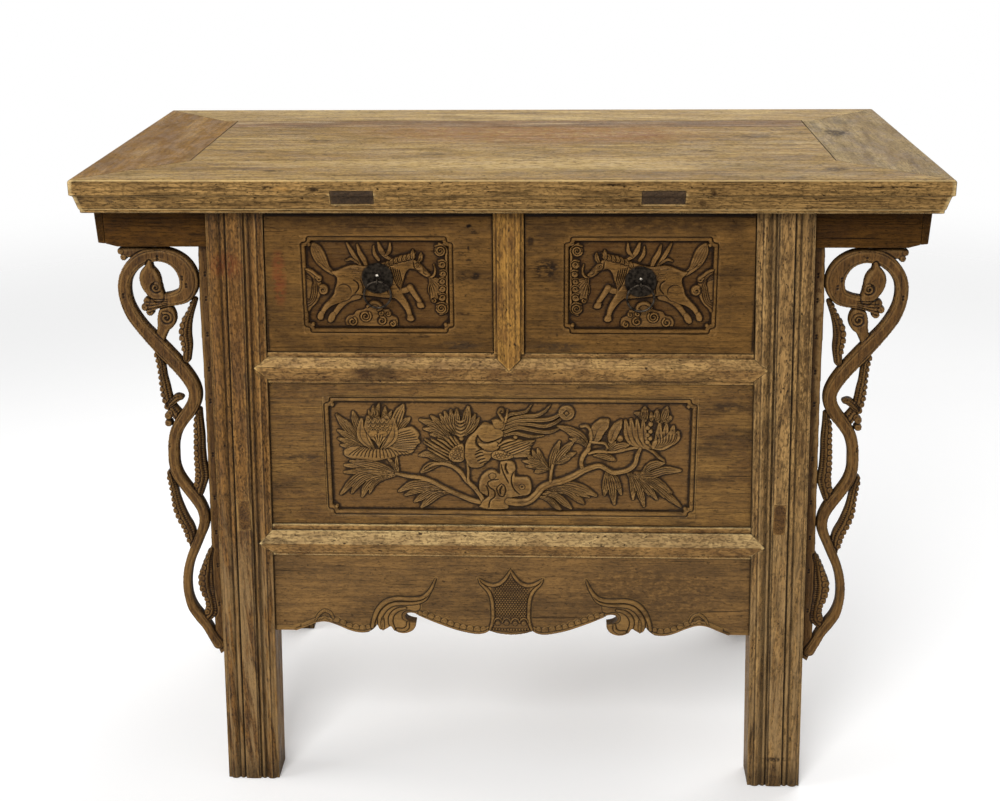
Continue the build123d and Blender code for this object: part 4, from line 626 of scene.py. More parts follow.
    def curl(self, x, z, radius, turns, start, hand, width, height, crown=0.9):
        """A scroll that winds in to its eye from a start angle in degrees."""
        a = np.linspace(0, 1, int(18 * turns) + 2)
        r = (radius - width) * (1 - a) ** 0.8 + radius * 0.12 * a
        turn = math.radians(start) + hand * 2 * math.pi * turns * a
        line = np.stack([x + r * np.cos(turn), z + r * np.sin(turn), width * (1 - 0.35 * a)], 1)
        self.mound(x, z, radius * 0.93, height - 2.2, 0.2)
        part, inside, _share, side, _length = self.along(line, line[:, 2])
        self.set_in(part, inside, height - crown * side ** 2, 1.1, 0.9)

    def mound(self, x, z, radius, height, dome=0.8, pit=0.0, squash=1.0, moat=1.2, sink=0.7):
        """A bead, boss or berry, with a drilled pit in its middle where it has one."""
        part = self.near([(x, z)], radius + 2)
        far = np.hypot(self.x[part] - x, (self.z[part] - z) / squash)
        top = height - dome * (far / radius) ** 2 - pit * np.exp(-(far / (0.34 * radius)) ** 2)
        self.set_in(part, radius - far, top, moat, sink)

    def mass(self, points, height, dome=0.9, reach=4.0, moat=1.5, sink=0.9, steps=5):
        """A full rounded body inside a closed outline."""
        line = self.bend(list(points) + [points[0]], steps)[:, :2]
        part = self.near(line, 2.5)
        inside = inside_outline(line, self.x[part], self.z[part])
        self.set_in(part, inside, height - dome * np.exp(-np.maximum(inside, 0) / reach * 2.2), moat, sink)

    def score(self, points, depth, width=0.8):
        """A line cut in with the corner of a chisel; a negative depth raises a fine ridge."""
        line = self.bend(points)
        part, inside, share, _side, _length = self.along(line[:, :2], np.full(len(line), 0.3), 2 * width + 1)
        far = np.maximum(0.3 - inside, 0)
        fading = np.clip(6 * np.minimum(share + 0.1, 1.1 - share), 0, 1)
        cut = depth * 1.5 * np.exp(-(far / width) ** 2) * fading
        self.height[part] = np.maximum(self.height[part] - cut, 0.1)

    def chisel_marks(self, depth, size, seed):
        """The slight unevenness of a hand-cut surface."""
        draw = np.random.default_rng(seed)
        for scale, share in ((size, 0.6), (size * 0.4, 0.4)):
            nx, nz = max(2, int(np.ptp(self.xs) / scale)), max(2, int(np.ptp(self.zs) / scale))
            coarse = draw.uniform(-1, 1, (nz + 2, nx + 2))
            u = (self.x - self.xs[0]) / scale % (nx + 1)
            v = (self.z - self.zs[0]) / scale % (nz + 1)
            i, j = np.minimum(u.astype(int), nx), np.minimum(v.astype(int), nz)
            fu, fv = u - i, v - j
            fu, fv = fu * fu * (3 - 2 * fu), fv * fv * (3 - 2 * fv)
            smooth = ((coarse[j, i] * (1 - fu) + coarse[j, i + 1] * fu) * (1 - fv)
                      + (coarse[j + 1, i] * (1 - fu) + coarse[j + 1, i + 1] * fu) * fv)
            self.height += depth * share * smooth


def inside_outline(line, x, z, below=math.inf):
    """How far in from a closed outline each place of a grid lies, measured from the runs of it that
    are wholly below a height."""
    far, within = np.full(x.shape, 1e3), np.zeros(x.shape, bool)
    for (ax, az), (bx, bz) in zip(line, line[1:]):
        dx, dz = bx - ax, bz - az
        if max(az, bz) < below:
            t = np.clip(((x - ax) * dx + (z - az) * dz) / max(dx * dx + dz * dz, 1e-9), 0, 1)
            far = np.minimum(far, np.hypot(x - ax - dx * t, z - az - dz * t))
        if abs(dz) > 1e-9:
            within ^= ((az > z) != (bz > z)) & (x < dx * (z - az) / dz + ax)
    return np.where(within, far, -far)


def blurred(values, reach):
    """The values of a grid averaged over about that many cells."""
    offsets = np.arange(-2 * reach, 2 * reach + 1)
    weights = np.exp(-(offsets / reach) ** 2)
    weights = weights / weights.sum()
    for axis in (0, 1):
        padded = np.pad(values, [(2 * reach,) * 2 if k == axis else (0, 0) for k in (0, 1)], mode="edge")
        size = values.shape[axis]
        values = sum(w * np.take(padded, range(k, k + size), axis) for k, w in enumerate(weights))
    return values


FINE_MM, BROAD_MM = 1.4, 4.5


def carved_piece(name, work, face_y, back_y, material, body, keep=None, columns=None, deep=4.0,
                 mirror=False):
    """Makes the mesh of a carving. face_y is where height 0 lies and back_y its flat back, in mm.

    keep is the distance in from the piece's outline, where it isn't the whole field, and columns is
    the share of the field from left to right that this piece takes."""
    first, last = columns or (0, work.across)
    fine, broad = [blurred(work.height, max(1, round(reach / work.pitch))) for reach in (FINE_MM, BROAD_MM)]
    x, z, h, fine, broad, calm, shade = (a[:, first:last + 1] for a in (
        work.x, work.z, work.height, fine, broad, work.calm, work.shade))
    # above or below the fine cuts and the broad forms round it, for dirt and wear in the cuts and a
    # painted halo of shade round each form; and a painted highlight on slopes turned up and to the
    # left, towards the light, with painted shade on those turned away
    up_slope, side_slope = np.gradient(h, work.pitch)
    painted_light_slope = np.clip((-0.5 if mirror else 0.5) * side_slope - 0.8 * up_slope, -1.2, 1.2)
    stands = h - broad
    dirt_wear_and_painted_light = np.clip(1.1 * (h - fine) + np.where(stands > 0, 0.3, 0.52) * stands + 0.3 * painted_light_slope, -1, 1)
    dirt_wear_and_painted_light = np.where(dirt_wear_and_painted_light > 0, dirt_wear_and_painted_light * calm, dirt_wear_and_painted_light)
    sunk = np.maximum(np.clip(1.15 - h / deep, 0, 1), shade)
    rows, cols = x.shape
    quads = np.ones((rows - 1, cols - 1), bool)
    if keep is not None:
        s = keep[:, first:last + 1]
        quads = (s[:-1, :-1] + s[1:, :-1] + s[:-1, 1:] + s[1:, 1:]) > 0
        lone = quads[:-1, :-1] & quads[1:, 1:] & ~quads[1:, :-1] & ~quads[:-1, 1:]
        quads[1:, :-1] |= lone
        lone = quads[1:, :-1] & quads[:-1, 1:] & ~quads[:-1, :-1] & ~quads[1:, 1:]
        quads[:-1, :-1] |= lone
        gz, gx = np.gradient(s, work.pitch)
        slope = np.maximum(gx ** 2 + gz ** 2, 0.25)
        count = np.zeros((rows, cols), int)
        for dj in (0, 1):
            for di in (0, 1):
                count[dj:rows - 1 + dj, di:cols - 1 + di] += quads
        rim = (count > 0) & (count < 4)
        rim[0], rim[-1], rim[:, 0], rim[:, -1] = False, False, False, False
        step = np.where(rim, np.clip(s, -work.pitch * 0.9, work.pitch * 0.9) / slope, 0)
        x, z = x - step * gx, z - step * gz
    corner = np.arange(rows * cols).reshape(rows, cols)
    a, b = corner[:-1, :-1][quads], corner[:-1, 1:][quads]
    c, d = corner[1:, 1:][quads], corner[1:, :-1][quads]
    front = np.stack([a, b, c, d], 1)
    edges = np.concatenate([front[:, [k, (k + 1) % 4]] for k in range(4)])
    key = np.minimum(edges[:, 0], edges[:, 1]) * (rows * cols) + np.maximum(edges[:, 0], edges[:, 1])
    _keys, index, times = np.unique(key, return_index=True, return_counts=True)
    border = edges[index[times == 1]]
    n = rows * cols
    walls = np.stack([border[:, 1], border[:, 0], border[:, 0] + n, border[:, 1] + n], 1)
    quads_made = np.concatenate([front, walls] if keep is None else [front, front[:, ::-1] + n, walls])
    points = np.concatenate([np.stack([x.ravel(), face_y - h.ravel(), z.ravel()], 1),
                             np.stack([x.ravel(), np.full(n, float(back_y)), z.ravel()], 1)]) / 1000
    if mirror:
        points = points * (-1, 1, 1)
    kept, places = np.unique(quads_made, return_inverse=True)
    faces = places.reshape(-1, 4).tolist()
    if keep is None:
        loop = np.concatenate([corner[0, :-1], corner[:-1, -1], corner[-1, :0:-1], corner[:0:-1, 0]]) + n
        faces.append(np.searchsorted(kept, loop[::-1]).tolist())
    if mirror:
        faces = [face[::-1] for face in faces]
    mesh = bpy.data.meshes.new(name)
    mesh.from_pydata(points[kept].tolist(), [], faces)
    for word, shown in (("dirt_wear_and_painted_light", dirt_wear_and_painted_light), ("sunk", sunk)):
        note = mesh.attributes.new(word, "FLOAT", "POINT")
        note.data.foreach_set("value", np.concatenate([shown.ravel(), np.zeros(n)])[kept].astype(np.float32))
    piece = bpy.data.objects.new(name, mesh)
    scene.collection.objects.link(piece)
    bpy.ops.object.select_all(action="DESELECT")
    bpy.context.view_layer.objects.active = piece
    piece.select_set(True)
    bpy.ops.object.shade_smooth_by_angle(angle=math.radians(50))
    piece.data.materials.append(material)
    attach(piece, body)
    return piece


def frame_moulding(work, x0, x1, z0, z1, notch, width, height, face):
    """The rounded frame of a sunk field, drawn in round the corners: the field outside it stays at
    the face of the board."""
    path = []
    for cx, cz, start in ((x1, z1, 270), (x0, z1, 0), (x0, z0, 90), (x1, z0, 180)):
        for a in np.radians(np.linspace(start, start - 90, 7)):
            path.append((cx + notch * math.cos(a), cz + notch * math.sin(a)))
    path.append(path[0])
    line = np.array(path)
    part, inside, _share, side, _length = work.along(line, np.full(len(line), width / 2))
    x, z = work.x, work.z
    within = (x > x0) & (x < x1) & (z > z0) & (z < z1)
    for cx in (x0, x1):
        for cz in (z0, z1):
            within &= np.hypot(x - cx, z - cz) > notch
    work.height[~within] = face
    work.set_in(part, inside, height - 1.2 * side ** 2, 2.0, 2.6, floor=0.1)
    work.calm[part] = np.where(inside > -2, 0.25, 1.0)
    for cx, sx in ((x0, 1), (x1, -1)):
        for cz, sz in ((z0, 1), (z1, -1)):
            work.mound(cx + sx * notch * 0.98, cz + sz * notch * 0.98, 2.6, height + 0.1, 1.0)


DRAWER_COLOURS = {"pale": "#765428", "brown": "#513819", "dark": "#120904", "rub_and_highlight": "#967040",
                  "hollow": "#422911"}
# the first two are painted shadow, the top of each front darkened where the top's overhang shades it; the
# rest are stains and smudges
DRAWER_MARKS = (((-165, -240, 816), (160, 20, 20), "#2a1b0d", 0.5),
                ((165, -240, 816), (160, 20, 20), "#2a1b0d", 0.6),
                ((-50, -232, 813), (5, 8, 4), "#0d0703", 1.0), ((-44, -232, 806), (11, 8, 5), "#1a0f06", 0.9),
                ((-51, -232, 784), (2, 8, 6), "#1a0f06", 0.9), ((-49, -232, 767), (10, 8, 5), "#140b05", 1.0),
                ((-60, -232, 747), (8, 8, 7), "#1d1107", 0.9), ((-43, -232, 748), (11, 8, 7), "#140b05", 0.9),
                ((-55, -232, 722), (3, 8, 3), "#140b05", 0.9), ((-60, -232, 698), (16, 8, 3), "#1d1107", 0.7),
                ((-99, -232, 804), (2, 8, 4), "#1a0f06", 0.9),
                ((-110, -232, 667), (12, 8, 3), "#1a0f06", 0.8),
                ((-64, -232, 655), (38, 8, 9), "#2a2118", 0.7),
                ((-295, -232, 745), (12, 8, 50), "#74371b", 0.5),
                ((48, -232, 757), (27, 8, 20), "#150c05", 0.9), ((28, -232, 793), (6, 8, 9), "#1a0f06", 0.8),
                ((64, -232, 653), (44, 8, 9), "#2e241a", 0.7), ((62, -232, 671), (2, 8, 6), "#1a0f06", 0.8))
# Thick dark wax, closed and smooth, worn through to the wood on the carving only; painted shade lines its
# edges and painted shadow lies across its top.
elm_drawer = waxed_elm("carved elm drawer fronts under dark wax, with painted shade", **DRAWER_COLOURS, apart=False, streaky=0.6,
                       pitted=0.6, mottled=1.2, marks_at=DRAWER_MARKS, polish=0.08,
                       painted_gap_shade=(0.167, 0.7355, 0.147, 0.0915))

FIELD_HALF_L, FIELD_LOW, FIELD_HIGH, FIELD_X = 98.6, 669.5, 801.0, -168.113
DRAWER_FACE_Y, DRAWER_GROUND_Y = -232.5, -227.5
LET_IN, ROOM_BEHIND = 0.5, 0.1
horse = Carving(FIELD_X - FIELD_HALF_L, FIELD_X + FIELD_HALF_L, FIELD_LOW, FIELD_HIGH, pitch=0.62, ground=0.3)
horse.chisel_marks(depth=0.22, size=7.0, seed=11)
frame_moulding(horse, FIELD_X - 94.2, FIELD_X + 94.2, FIELD_LOW + 4.8, FIELD_HIGH - 4.8, notch=8.0, width=5.2,
               height=5.0, face=5.0)
# a breaking wave with two scrolls, behind the tail
horse.mass([(-261, 757), (-252, 753), (-246, 747), (-242, 740), (-241, 733), (-243, 722), (-248, 712),
            (-254, 706), (-261, 702)], 3.0, dome=0.8)
for k, reach in enumerate((0, 4.2, 8.4, 12.6)):
    horse.score([(-261, 752 - reach * 0.6), (-254 + reach * 0.1, 746 - reach * 0.5),
                 (-247 - reach * 0.5, 736 - reach * 0.3), (-247 - reach * 0.6, 724),
                 (-251 - reach * 0.5, 713 + reach * 0.2), (-260, 705 + reach * 0.9)], 0.9, 0.9)
horse.curl(-244.5, 743, 5.2, 1.2, 150, -1, 1.7, 4.2)
horse.band([(-260, 756, 1.6), (-253, 753, 1.8), (-247, 748, 1.8), (-242, 744, 1.5)], 4.2, 0.9)
horse.curl(-239.3, 728.5, 7.6, 1.7, 120, -1, 2.0, 4.4)
# a column of cloud scrolls with a spreading leaf, before the head
horse.mass([(-101, 745), (-92, 744), (-88, 738), (-88, 722), (-93, 713), (-100, 713), (-101.5, 726)],
           2.4, dome=0.8)
for tip, w in (((-97.5, 717), 2.6), ((-93, 719), 3.0), ((-89, 725), 3.0), ((-88, 733), 2.8),
               ((-88.5, 741), 2.4)):
    horse.leaf([(-101, 744), ((tip[0] - 101) / 2, (tip[1] + 745) / 2), tip], w, 3.8, cup=0.6,
               shape=(0.1, 0.4, 0.75, 1, 0.8), moat=1.2, sink=1.1)
horse.curl(-96.5, 714.5, 4.0, 1.0, 60, -1, 1.3, 4.0)
horse.band([(-88, 789, 2.0), (-79.5, 783, 2.0), (-79.5, 770, 1.8), (-79.5, 750, 1.8), (-79.5, 720, 1.8),
            (-80, 702, 2.0), (-88, 696.5, 2.0)], 3.6, 0.9)
for x, z, r in ((-87, 780.5, 7.8), (-85, 762.5, 5.6), (-84, 750.5, 5.0), (-85, 740.5, 4.6), (-85, 730.5, 5.0),
                (-85.5, 719, 5.4), (-87, 704.5, 7.8)):
    horse.curl(x, z, r, 1.0 + r / 9, 200, 1, 1.5, 4.5, 1.0)
    horse.band([(x - 0.8 * r, z + 0.75 * r, 1.0), (x + 0.2 * r, z + 1.02 * r, 1.2),
                (x + 0.9 * r, z + 0.6 * r, 1.0)], 3.9, 0.8, moat=0.9)
# ribbons streaming over the back
for blade in ([(-206, 790, 1.4), (-200, 778, 2.8), (-194, 768, 2.6), (-189, 759, 1.8)],
              [(-193, 788, 1.2), (-190, 777, 3.0), (-185, 768, 3.2), (-181, 757, 2.0)],
              [(-208, 767, 1.0), (-201, 769, 1.9), (-193, 764, 1.5)],
              [(-166, 791, 1.4), (-163, 781, 3.4), (-157, 773, 2.8), (-149, 768, 1.5)],
              [(-151, 790, 1.3), (-152, 780, 2.6), (-157, 774, 1.6)],
              [(-172, 786, 1.0), (-171, 776, 2.4), (-166, 768, 2.0)]):
    horse.band(blade, 3.5, 0.7, lines=2, line_depth=0.5)
# tail
horse.band([(-227, 752, 2.2), (-234, 758, 4.5), (-240, 768, 7.6), (-245, 779, 7.8), (-249, 788, 3.2)],
           3.6, 0.8, lines=5, line_depth=0.6)
horse.band([(-226, 750, 2.0), (-235, 756, 1.8), (-243, 764, 1.2)], 3.4, 0.8)
# far legs first, then the body and the near legs
horse.band([(-194, 720, 4.0), (-205, 717, 4.2), (-214, 711, 3.8), (-221, 703, 3.4), (-226, 696, 3.0)],
           3.5, 1.0)
horse.mass([(-224, 697), (-228, 699), (-233, 694), (-235, 687), (-231, 684.5), (-226, 689)], 3.8, 0.9)
horse.band([(-141, 727, 3.6), (-133, 728, 3.8), (-126.5, 731, 4.0)], 3.8, 1.0)
horse.band([(-127, 732, 3.8), (-121, 722, 3.2), (-115, 713, 2.8)], 4.0, 1.0)
horse.mass([(-119, 712), (-112, 712), (-109, 705.5), (-117, 705)], 4.2, 0.6)
horse.mass([(-228, 753), (-221, 754), (-213, 757.5), (-205, 760.5), (-196, 761.5), (-184, 760), (-172, 760.5),
            (-162, 764), (-152, 766), (-142, 768), (-131, 770), (-122, 769.5), (-115, 765.5), (-108, 758),
            (-103, 752), (-100, 748.5), (-103, 745.5), (-108, 747), (-114, 751.5), (-120, 755.5),
            (-127, 756.5), (-132, 751), (-134.5, 743), (-137, 734), (-140, 725), (-146, 718.5), (-158, 718),
            (-172, 719.5), (-188, 721.5), (-200, 722), (-206, 716), (-214, 713.5), (-222, 714), (-225, 720),
            (-224, 729), (-221, 738), (-221, 745), (-225, 749)], 4.9, dome=1.7, reach=5.5, moat=1.8, sink=1.2)
horse.band([(-212, 727, 10), (-219, 719, 7.5), (-229, 712, 4.4), (-237, 705, 3.4), (-242, 697, 2.8)],
           4.8, 1.3, moat=0.8, sink=0.2)
horse.mass([(-240, 699), (-244, 700), (-248, 694), (-247, 688.5), (-242, 688.5), (-240, 693)], 4.4, 0.9)
horse.band([(-148, 728, 8.5), (-141, 720, 5.6), (-134.5, 711, 4.3), (-130, 702, 3.4), (-128, 694, 2.9)],
           4.9, 1.3, moat=0.8, sink=0.2)
horse.mass([(-131, 695), (-125, 695), (-122.5, 689), (-127, 686.5), (-132, 689)], 4.5, 0.8)
# saddle cloth, straps and shoulder
for x, z in ((-196.5, 757), (-195, 751.5), (-194, 746)):
    horse.band([(x - 4, z + 1, 1.5), (x + 3, z, 1.7)], 5.0, 0.5, moat=0.7, sink=0.6)
horse.score([(-199, 742), (-194, 738), (-193, 731), (-198, 724)], 1.1, 0.9)
horse.score([(-190, 742), (-187, 733), (-188, 724)], 0.9, 0.8)
for k in range(5):
    horse.score([(-151 + 2.8 * k, 759 - k), (-148.5 + 2.5 * k, 748), (-144.5 + 2.0 * k, 737),
                 (-140 + 1.0 * k, 729 + k)], 1.3, 0.8)
horse.band([(-155, 762, 1.3), (-149, 764, 1.6), (-143, 762, 1.2)], 5.0, 0.5, moat=0.7, sink=0.6)
# mane, ears and head
for x, z, r in ((-155, 761.5, 3.0), (-149.5, 764.5, 3.2), (-144, 766.5, 3.3), (-138.5, 768.5, 3.3),
                (-133, 769.5, 3.3), (-127.5, 771, 3.4), (-122, 772.5, 3.2)):
    horse.mound(x, z, r, 4.8, 1.2, moat=1.3, sink=1.4)
    horse.leaf([(x - 1.5, z - 1), (x + 0.5, z + 3), (x + 3.4, z + 5.2)],
               2.3, 4.8, shape=(0.7, 1, 0.9, 0.5, 0.1), moat=1.2, sink=1.3)
horse.leaf([(-116, 765), (-112.5, 770), (-111.5, 777)], 2.9, 4.9, vein=1.3, moat=1.2, sink=1.2)
horse.leaf([(-122, 768), (-122.5, 775), (-122, 781)], 2.4, 4.8, vein=1.0, moat=1.2, sink=1.2)
horse.mound(-115.4, 760.6, 2.5, 4.6, 0.4, 2.6, squash=0.8, moat=1.7, sink=1.5)
horse.score([(-119.5, 763.5), (-115.5, 764.6), (-110.5, 760), (-106, 753.5)], 1.0, 0.9)
horse.score([(-121.5, 766), (-120.5, 759), (-118, 755), (-113, 753.5)], 1.1, 0.9)
horse.score([(-109, 756.5), (-108.5, 751.5), (-105.5, 749.5)], 0.9, 0.7)
horse.mound(-103.8, 750.4, 1.2, 4.5, 0.3, 1.2, moat=0.8, sink=0.6)
horse.band([(-103, 746, 1.0), (-98.5, 746, 1.5), (-95, 749.5, 1.5), (-94, 756, 1.3), (-95.5, 762, 0.9)],
           3.8, 0.9)
horse.band([(-102, 746, 0.9), (-101.5, 738, 0.9), (-103, 730, 0.9), (-102, 723, 0.8)], 2.2, 0.5)
# clouds below
horse.mass([(-211, 681), (-212, 687), (-208, 693), (-201, 695), (-197, 700), (-188, 702), (-181, 707),
            (-174, 712), (-165, 709), (-162, 703), (-155, 702), (-152, 695), (-145, 691), (-144, 683),
            (-148, 680), (-180, 679.5)], 3.0, dome=0.9)
for x, z, r, turns, start in ((-202.5, 686.5, 7.0, 1.4, 60), (-185.5, 693.5, 8.6, 1.9, 40),
                              (-164.5, 687.5, 7.0, 1.4, 100), (-150.5, 683.6, 5.2, 1.2, 60),
                              (-165.5, 697.5, 4.2, 0.9, 30), (-156, 696.5, 4.0, 0.9, 30)):
    horse.curl(x, z, r, turns, start, -1, 1.5, 4.6, 1.0)
horse.band([(-183, 706, 1.4), (-176, 711.5, 2.2), (-168, 710, 2.2), (-164.5, 704.5, 1.8), (-169, 701.5, 1.4)],
           4.3, 0.9)
horse.chisel_marks(depth=0.10, size=3.5, seed=12)
for side, mirror, middle_x in (("left", False, FIELD_X), ("right", True, -FIELD_X)):
    worn_copy(f"{side}_drawer_front", elm_drawer, arris=0.002, segments=3,
              pocket=((middle_x - FIELD_HALF_L, DRAWER_FACE_Y, FIELD_LOW),
                      (middle_x + FIELD_HALF_L, DRAWER_GROUND_Y, FIELD_HIGH),
                      DRAWER_GROUND_Y + LET_IN + ROOM_BEHIND))
    carved_piece(f"{side}_drawer_horse_carving", horse, DRAWER_GROUND_Y, DRAWER_GROUND_Y + LET_IN, elm_drawer,
                 f"{side}_drawer", mirror=mirror)


# ---- Carved panel ----
# A long elm board let into grooves between the legs, its sunk field carved with a phoenix
# among peonies on a rock; it hides the compartment behind.
# Waxed as the drawers are, but paler: the leaves stand out light on a brown ground.
elm_panel = waxed_elm("carved elm panel under dark wax", pale="#8a6634", brown="#5d401e", dark="#140c05",
                      rub_and_highlight="#a8834e", hollow="#6b4b26", apart=False, streaky=0.7, pitted=0.6, mottled=1.2,
                      marks_at=(((-275, -228, 495), (50, 6, 8), "#2a1c0f", 0.7),
                                ((290, -228, 570), (40, 6, 10), "#22160a", 0.7)))
PANEL_HALF_L, PANEL_LOW, PANEL_HIGH = 248.1, 411.0, 583.0
PANEL_FACE_Y, PANEL_GROUND_Y = -228.5, -223.5
garden = Carving(-PANEL_HALF_L, PANEL_HALF_L, PANEL_LOW, PANEL_HIGH, pitch=0.78, ground=0.3)
garden.chisel_marks(depth=0.24, size=8.0, seed=21)
frame_moulding(garden, -PANEL_HALF_L + 5, PANEL_HALF_L - 5, PANEL_LOW + 5, PANEL_HIGH - 5, notch=8.0,
               width=5.6, height=5.0, face=5.0)
PETAL = {"vein": 1.4, "cup": 0.7, "flute": 1.3}
# left peony: outer petals, tuft, skirt, broad petal, cup and heart
for tip, knee, root, w in (((-230, 555), (-215, 535), (-196, 510), 5.6),
                           ((-208, 559), (-203, 541), (-192, 520), 5.2),
                           ((-218, 547), (-209, 533), (-195, 512), 4.2),
                           ((-229, 533), (-213, 524), (-194, 511), 4.6),
                           ((-229, 521), (-213, 517), (-194, 508), 4.2),
                           ((-226, 512), (-214, 511), (-198, 506), 3.6)):
    garden.leaf([root, knee, tip], w, 3.4, **PETAL)
garden.fan((-173, 545), [(-187, 561), (-181, 567), (-173, 571), (-165, 566), (-157, 560), (-151, 555)],
           3.6, 3.4, **PETAL)
garden.leaf([(-152, 536), (-149, 552), (-141, 569)], 7.0, 3.6, **PETAL)
garden.leaf([(-150, 530), (-142, 543), (-133, 551)], 5.0, 3.4, **PETAL)
garden.mass([(-223, 502), (-219, 508), (-205, 511), (-190, 509), (-175, 507), (-160, 509), (-145, 510),
             (-130, 512), (-127, 507), (-134, 500), (-147, 499), (-155, 495), (-165, 493), (-178, 490),
             (-189, 490), (-200, 492), (-212, 493), (-221, 497)], 3.4, dome=1.2)
for k in range(17):
    x = -216 + 5.3 * k
    garden.score([(-176 + (x + 176) * 0.55, 511), (-176 + (x + 176) * 0.86, 503),
                  (x, 494 + abs(k - 8) * 0.5)], 0.8, 0.7)
garden.mass([(-166, 511), (-163, 528), (-154, 533), (-146, 536.5), (-138, 538.5), (-130, 539), (-124, 534),
             (-120.5, 528), (-122, 523), (-119.5, 517), (-124, 513), (-127, 508), (-136, 505), (-152, 505)],
            4.0, dome=1.2)
for k in range(9):
    a = math.radians(-12 + 8.2 * k)
    garden.score([(-168 + 8 * math.cos(a), 513 + 7 * math.sin(a)),
                  (-168 + 26 * math.cos(a), 512 + 20 * math.sin(a)),
                  (-168 + 47 * math.cos(a * 0.75), 512 + 36 * math.sin(a * 0.75))], 0.8, 0.7)
for points, w in (([(-186, 508), (-199, 525), (-197, 548)], 4.4),
                  ([(-168, 508), (-154, 525), (-155, 550)], 4.4),
                  ([(-182, 508), (-191, 527), (-188, 552)], 4.2),
                  ([(-172, 508), (-162, 527), (-163, 552)], 4.2)):
    garden.leaf(points, w, 4.2, vein=0.7, cup=1.0, shape=(0.3, 0.8, 1, 1, 0.6))
garden.mass([(-193, 545), (-190, 551), (-184, 549), (-179, 552), (-173, 549), (-168, 552), (-162, 549),
             (-158, 550), (-156, 541), (-160, 530), (-168, 520), (-176, 517), (-184, 521), (-191, 531),
             (-194, 539)], 4.0, dome=0.8)
for z, half, n in ((547, 15, 5), (541, 15.5, 5), (535, 14, 4)):
    for k in range(n):
        x = -175.5 + (k - (n - 1) / 2) * 2 * half / n
        garden.band([(x - half / n, z + 2.6, 0.8), (x, z - 1.2, 1.3), (x + half / n, z + 2.6, 0.8)],
                    4.9, 0.6, moat=0.9, sink=0.7)
garden.mass([(-187, 534), (-178, 535), (-176, 527), (-182, 524), (-188, 527)], 4.7, 0.7, moat=1.0)
garden.mass([(-164, 534), (-173, 535), (-175, 527), (-169, 524), (-163, 527)], 4.7, 0.7, moat=1.0)
for x, z in ((-182, 524), (-178.5, 527), (-174.5, 529), (-170.5, 527.5), (-167, 524)):
    garden.band([(-175, 510, 0.8), ((x - 175) / 2, (z + 512) / 2, 1.2), (x, z, 1.5)],
                4.9, 0.5, moat=0.8, sink=0.8)
# left leaves and stems
garden.fan((-151, 472), [(-222, 483), (-214, 489), (-205, 491)], 5.6, 3.0, bow=-0.05, **PETAL)
for points, w in (([(-151, 471), (-188, 475), (-223, 473)], 4.8),
                  ([(-153, 470), (-193, 471), (-212, 460), (-229, 441)], 5.4),
                  ([(-153, 470), (-190, 467), (-207, 455), (-214, 443)], 4.8),
                  ([(-155, 469), (-182, 463), (-194, 452), (-200, 438)], 5.2),
                  ([(-157, 468), (-176, 463), (-186, 454), (-190, 443)], 3.8),
                  ([(-80, 446), (-105, 456), (-130, 456), (-150, 446)], 5.8),
                  ([(-80, 446), (-108, 450), (-128, 447), (-142, 440)], 4.6),
                  ([(-81, 446), (-105, 446), (-118, 439), (-129, 431)], 5.0),
                  ([(-82, 445), (-98, 442), (-110, 433), (-120, 423)], 5.4),
                  ([(-151, 471), (-156, 483), (-165, 496)], 2.6),
                  ([(-150, 471), (-152, 484), (-152, 497)], 2.4),
                  ([(-92, 487), (-106, 483), (-119, 474)], 5.0),
                  ([(-78, 487), (-97, 494), (-110, 500), (-121, 498)], 4.4)):
    garden.leaf(points, w, 3.4, **PETAL)
garden.band([(-153, 472, 1.8), (-137, 468, 2.4), (-121, 466, 2.6), (-106, 461, 2.6), (-92, 453, 2.6),
             (-79, 446, 2.8), (-66, 440, 3.0), (-52, 434, 3.2), (-36, 430, 3.6)], 4.2, 1.0, groove=0.6)
garden.band([(-116, 477, 1.4), (-104, 485, 1.8), (-91, 487, 2.2), (-77, 483, 2.6), (-66, 474, 2.8),
             (-59, 463, 2.8), (-48, 452, 3.0), (-40, 441, 3.2), (-34, 428, 3.6)], 4.3, 1.0, groove=0.6)
garden.band([(-57, 490, 1.6), (-56, 476, 1.8), (-56, 462, 2.2), (-48, 452, 2.6)], 4.0, 1.0)
for points, w in (([(-80, 519), (-92, 528), (-105, 528)], 4.6), ([(-80, 521), (-96, 534), (-114, 536)], 4.6),
                  ([(-79, 524), (-97, 540), (-119, 549)], 5.2), ([(-79, 524), (-91, 541), (-104, 554)], 4.8)):
    garden.leaf(points, w, 3.5, **PETAL)
# small flower beside the phoenix
garden.fan((-66, 526), [(-92, 556), (-86, 560), (-78, 562), (-70, 563), (-54, 567), (-46, 556), (-41, 551)],
           5.2, 3.6, bow=0.06, **PETAL)
garden.leaf([(-63, 532), (-58, 548), (-55, 567)], 5.6, 4.1, **PETAL)
for k in range(5):
    garden.band([(-72, 550 - 5 * k, 0.9), (-65.5, 547 - 5 * k, 1.8), (-59, 550 - 5 * k, 0.9)],
                4.8 - 0.1 * k, 0.7, moat=0.9)
garden.mound(-64.5, 523, 3.0, 4.3, 0.9)
for points in ([(-84, 493), (-96, 500.5), (-109, 508)], [(-82, 497), (-98, 507), (-114, 517)],
               [(-80, 501), (-98, 511), (-113, 521)], [(-80, 505), (-94, 515), (-104, 521)],
               [(-78, 509), (-88, 518), (-96, 522)], [(-75, 512), (-82, 520), (-88, 526)],
               [(-71, 514), (-76, 521), (-80, 526)], [(-67, 514), (-71, 520), (-74, 525)]):
    garden.band([(x, z, half) for (x, z), half in zip(points, (1.5, 2.1, 1.2))],
                4.0, 1.2, groove=0.5, moat=1.0)
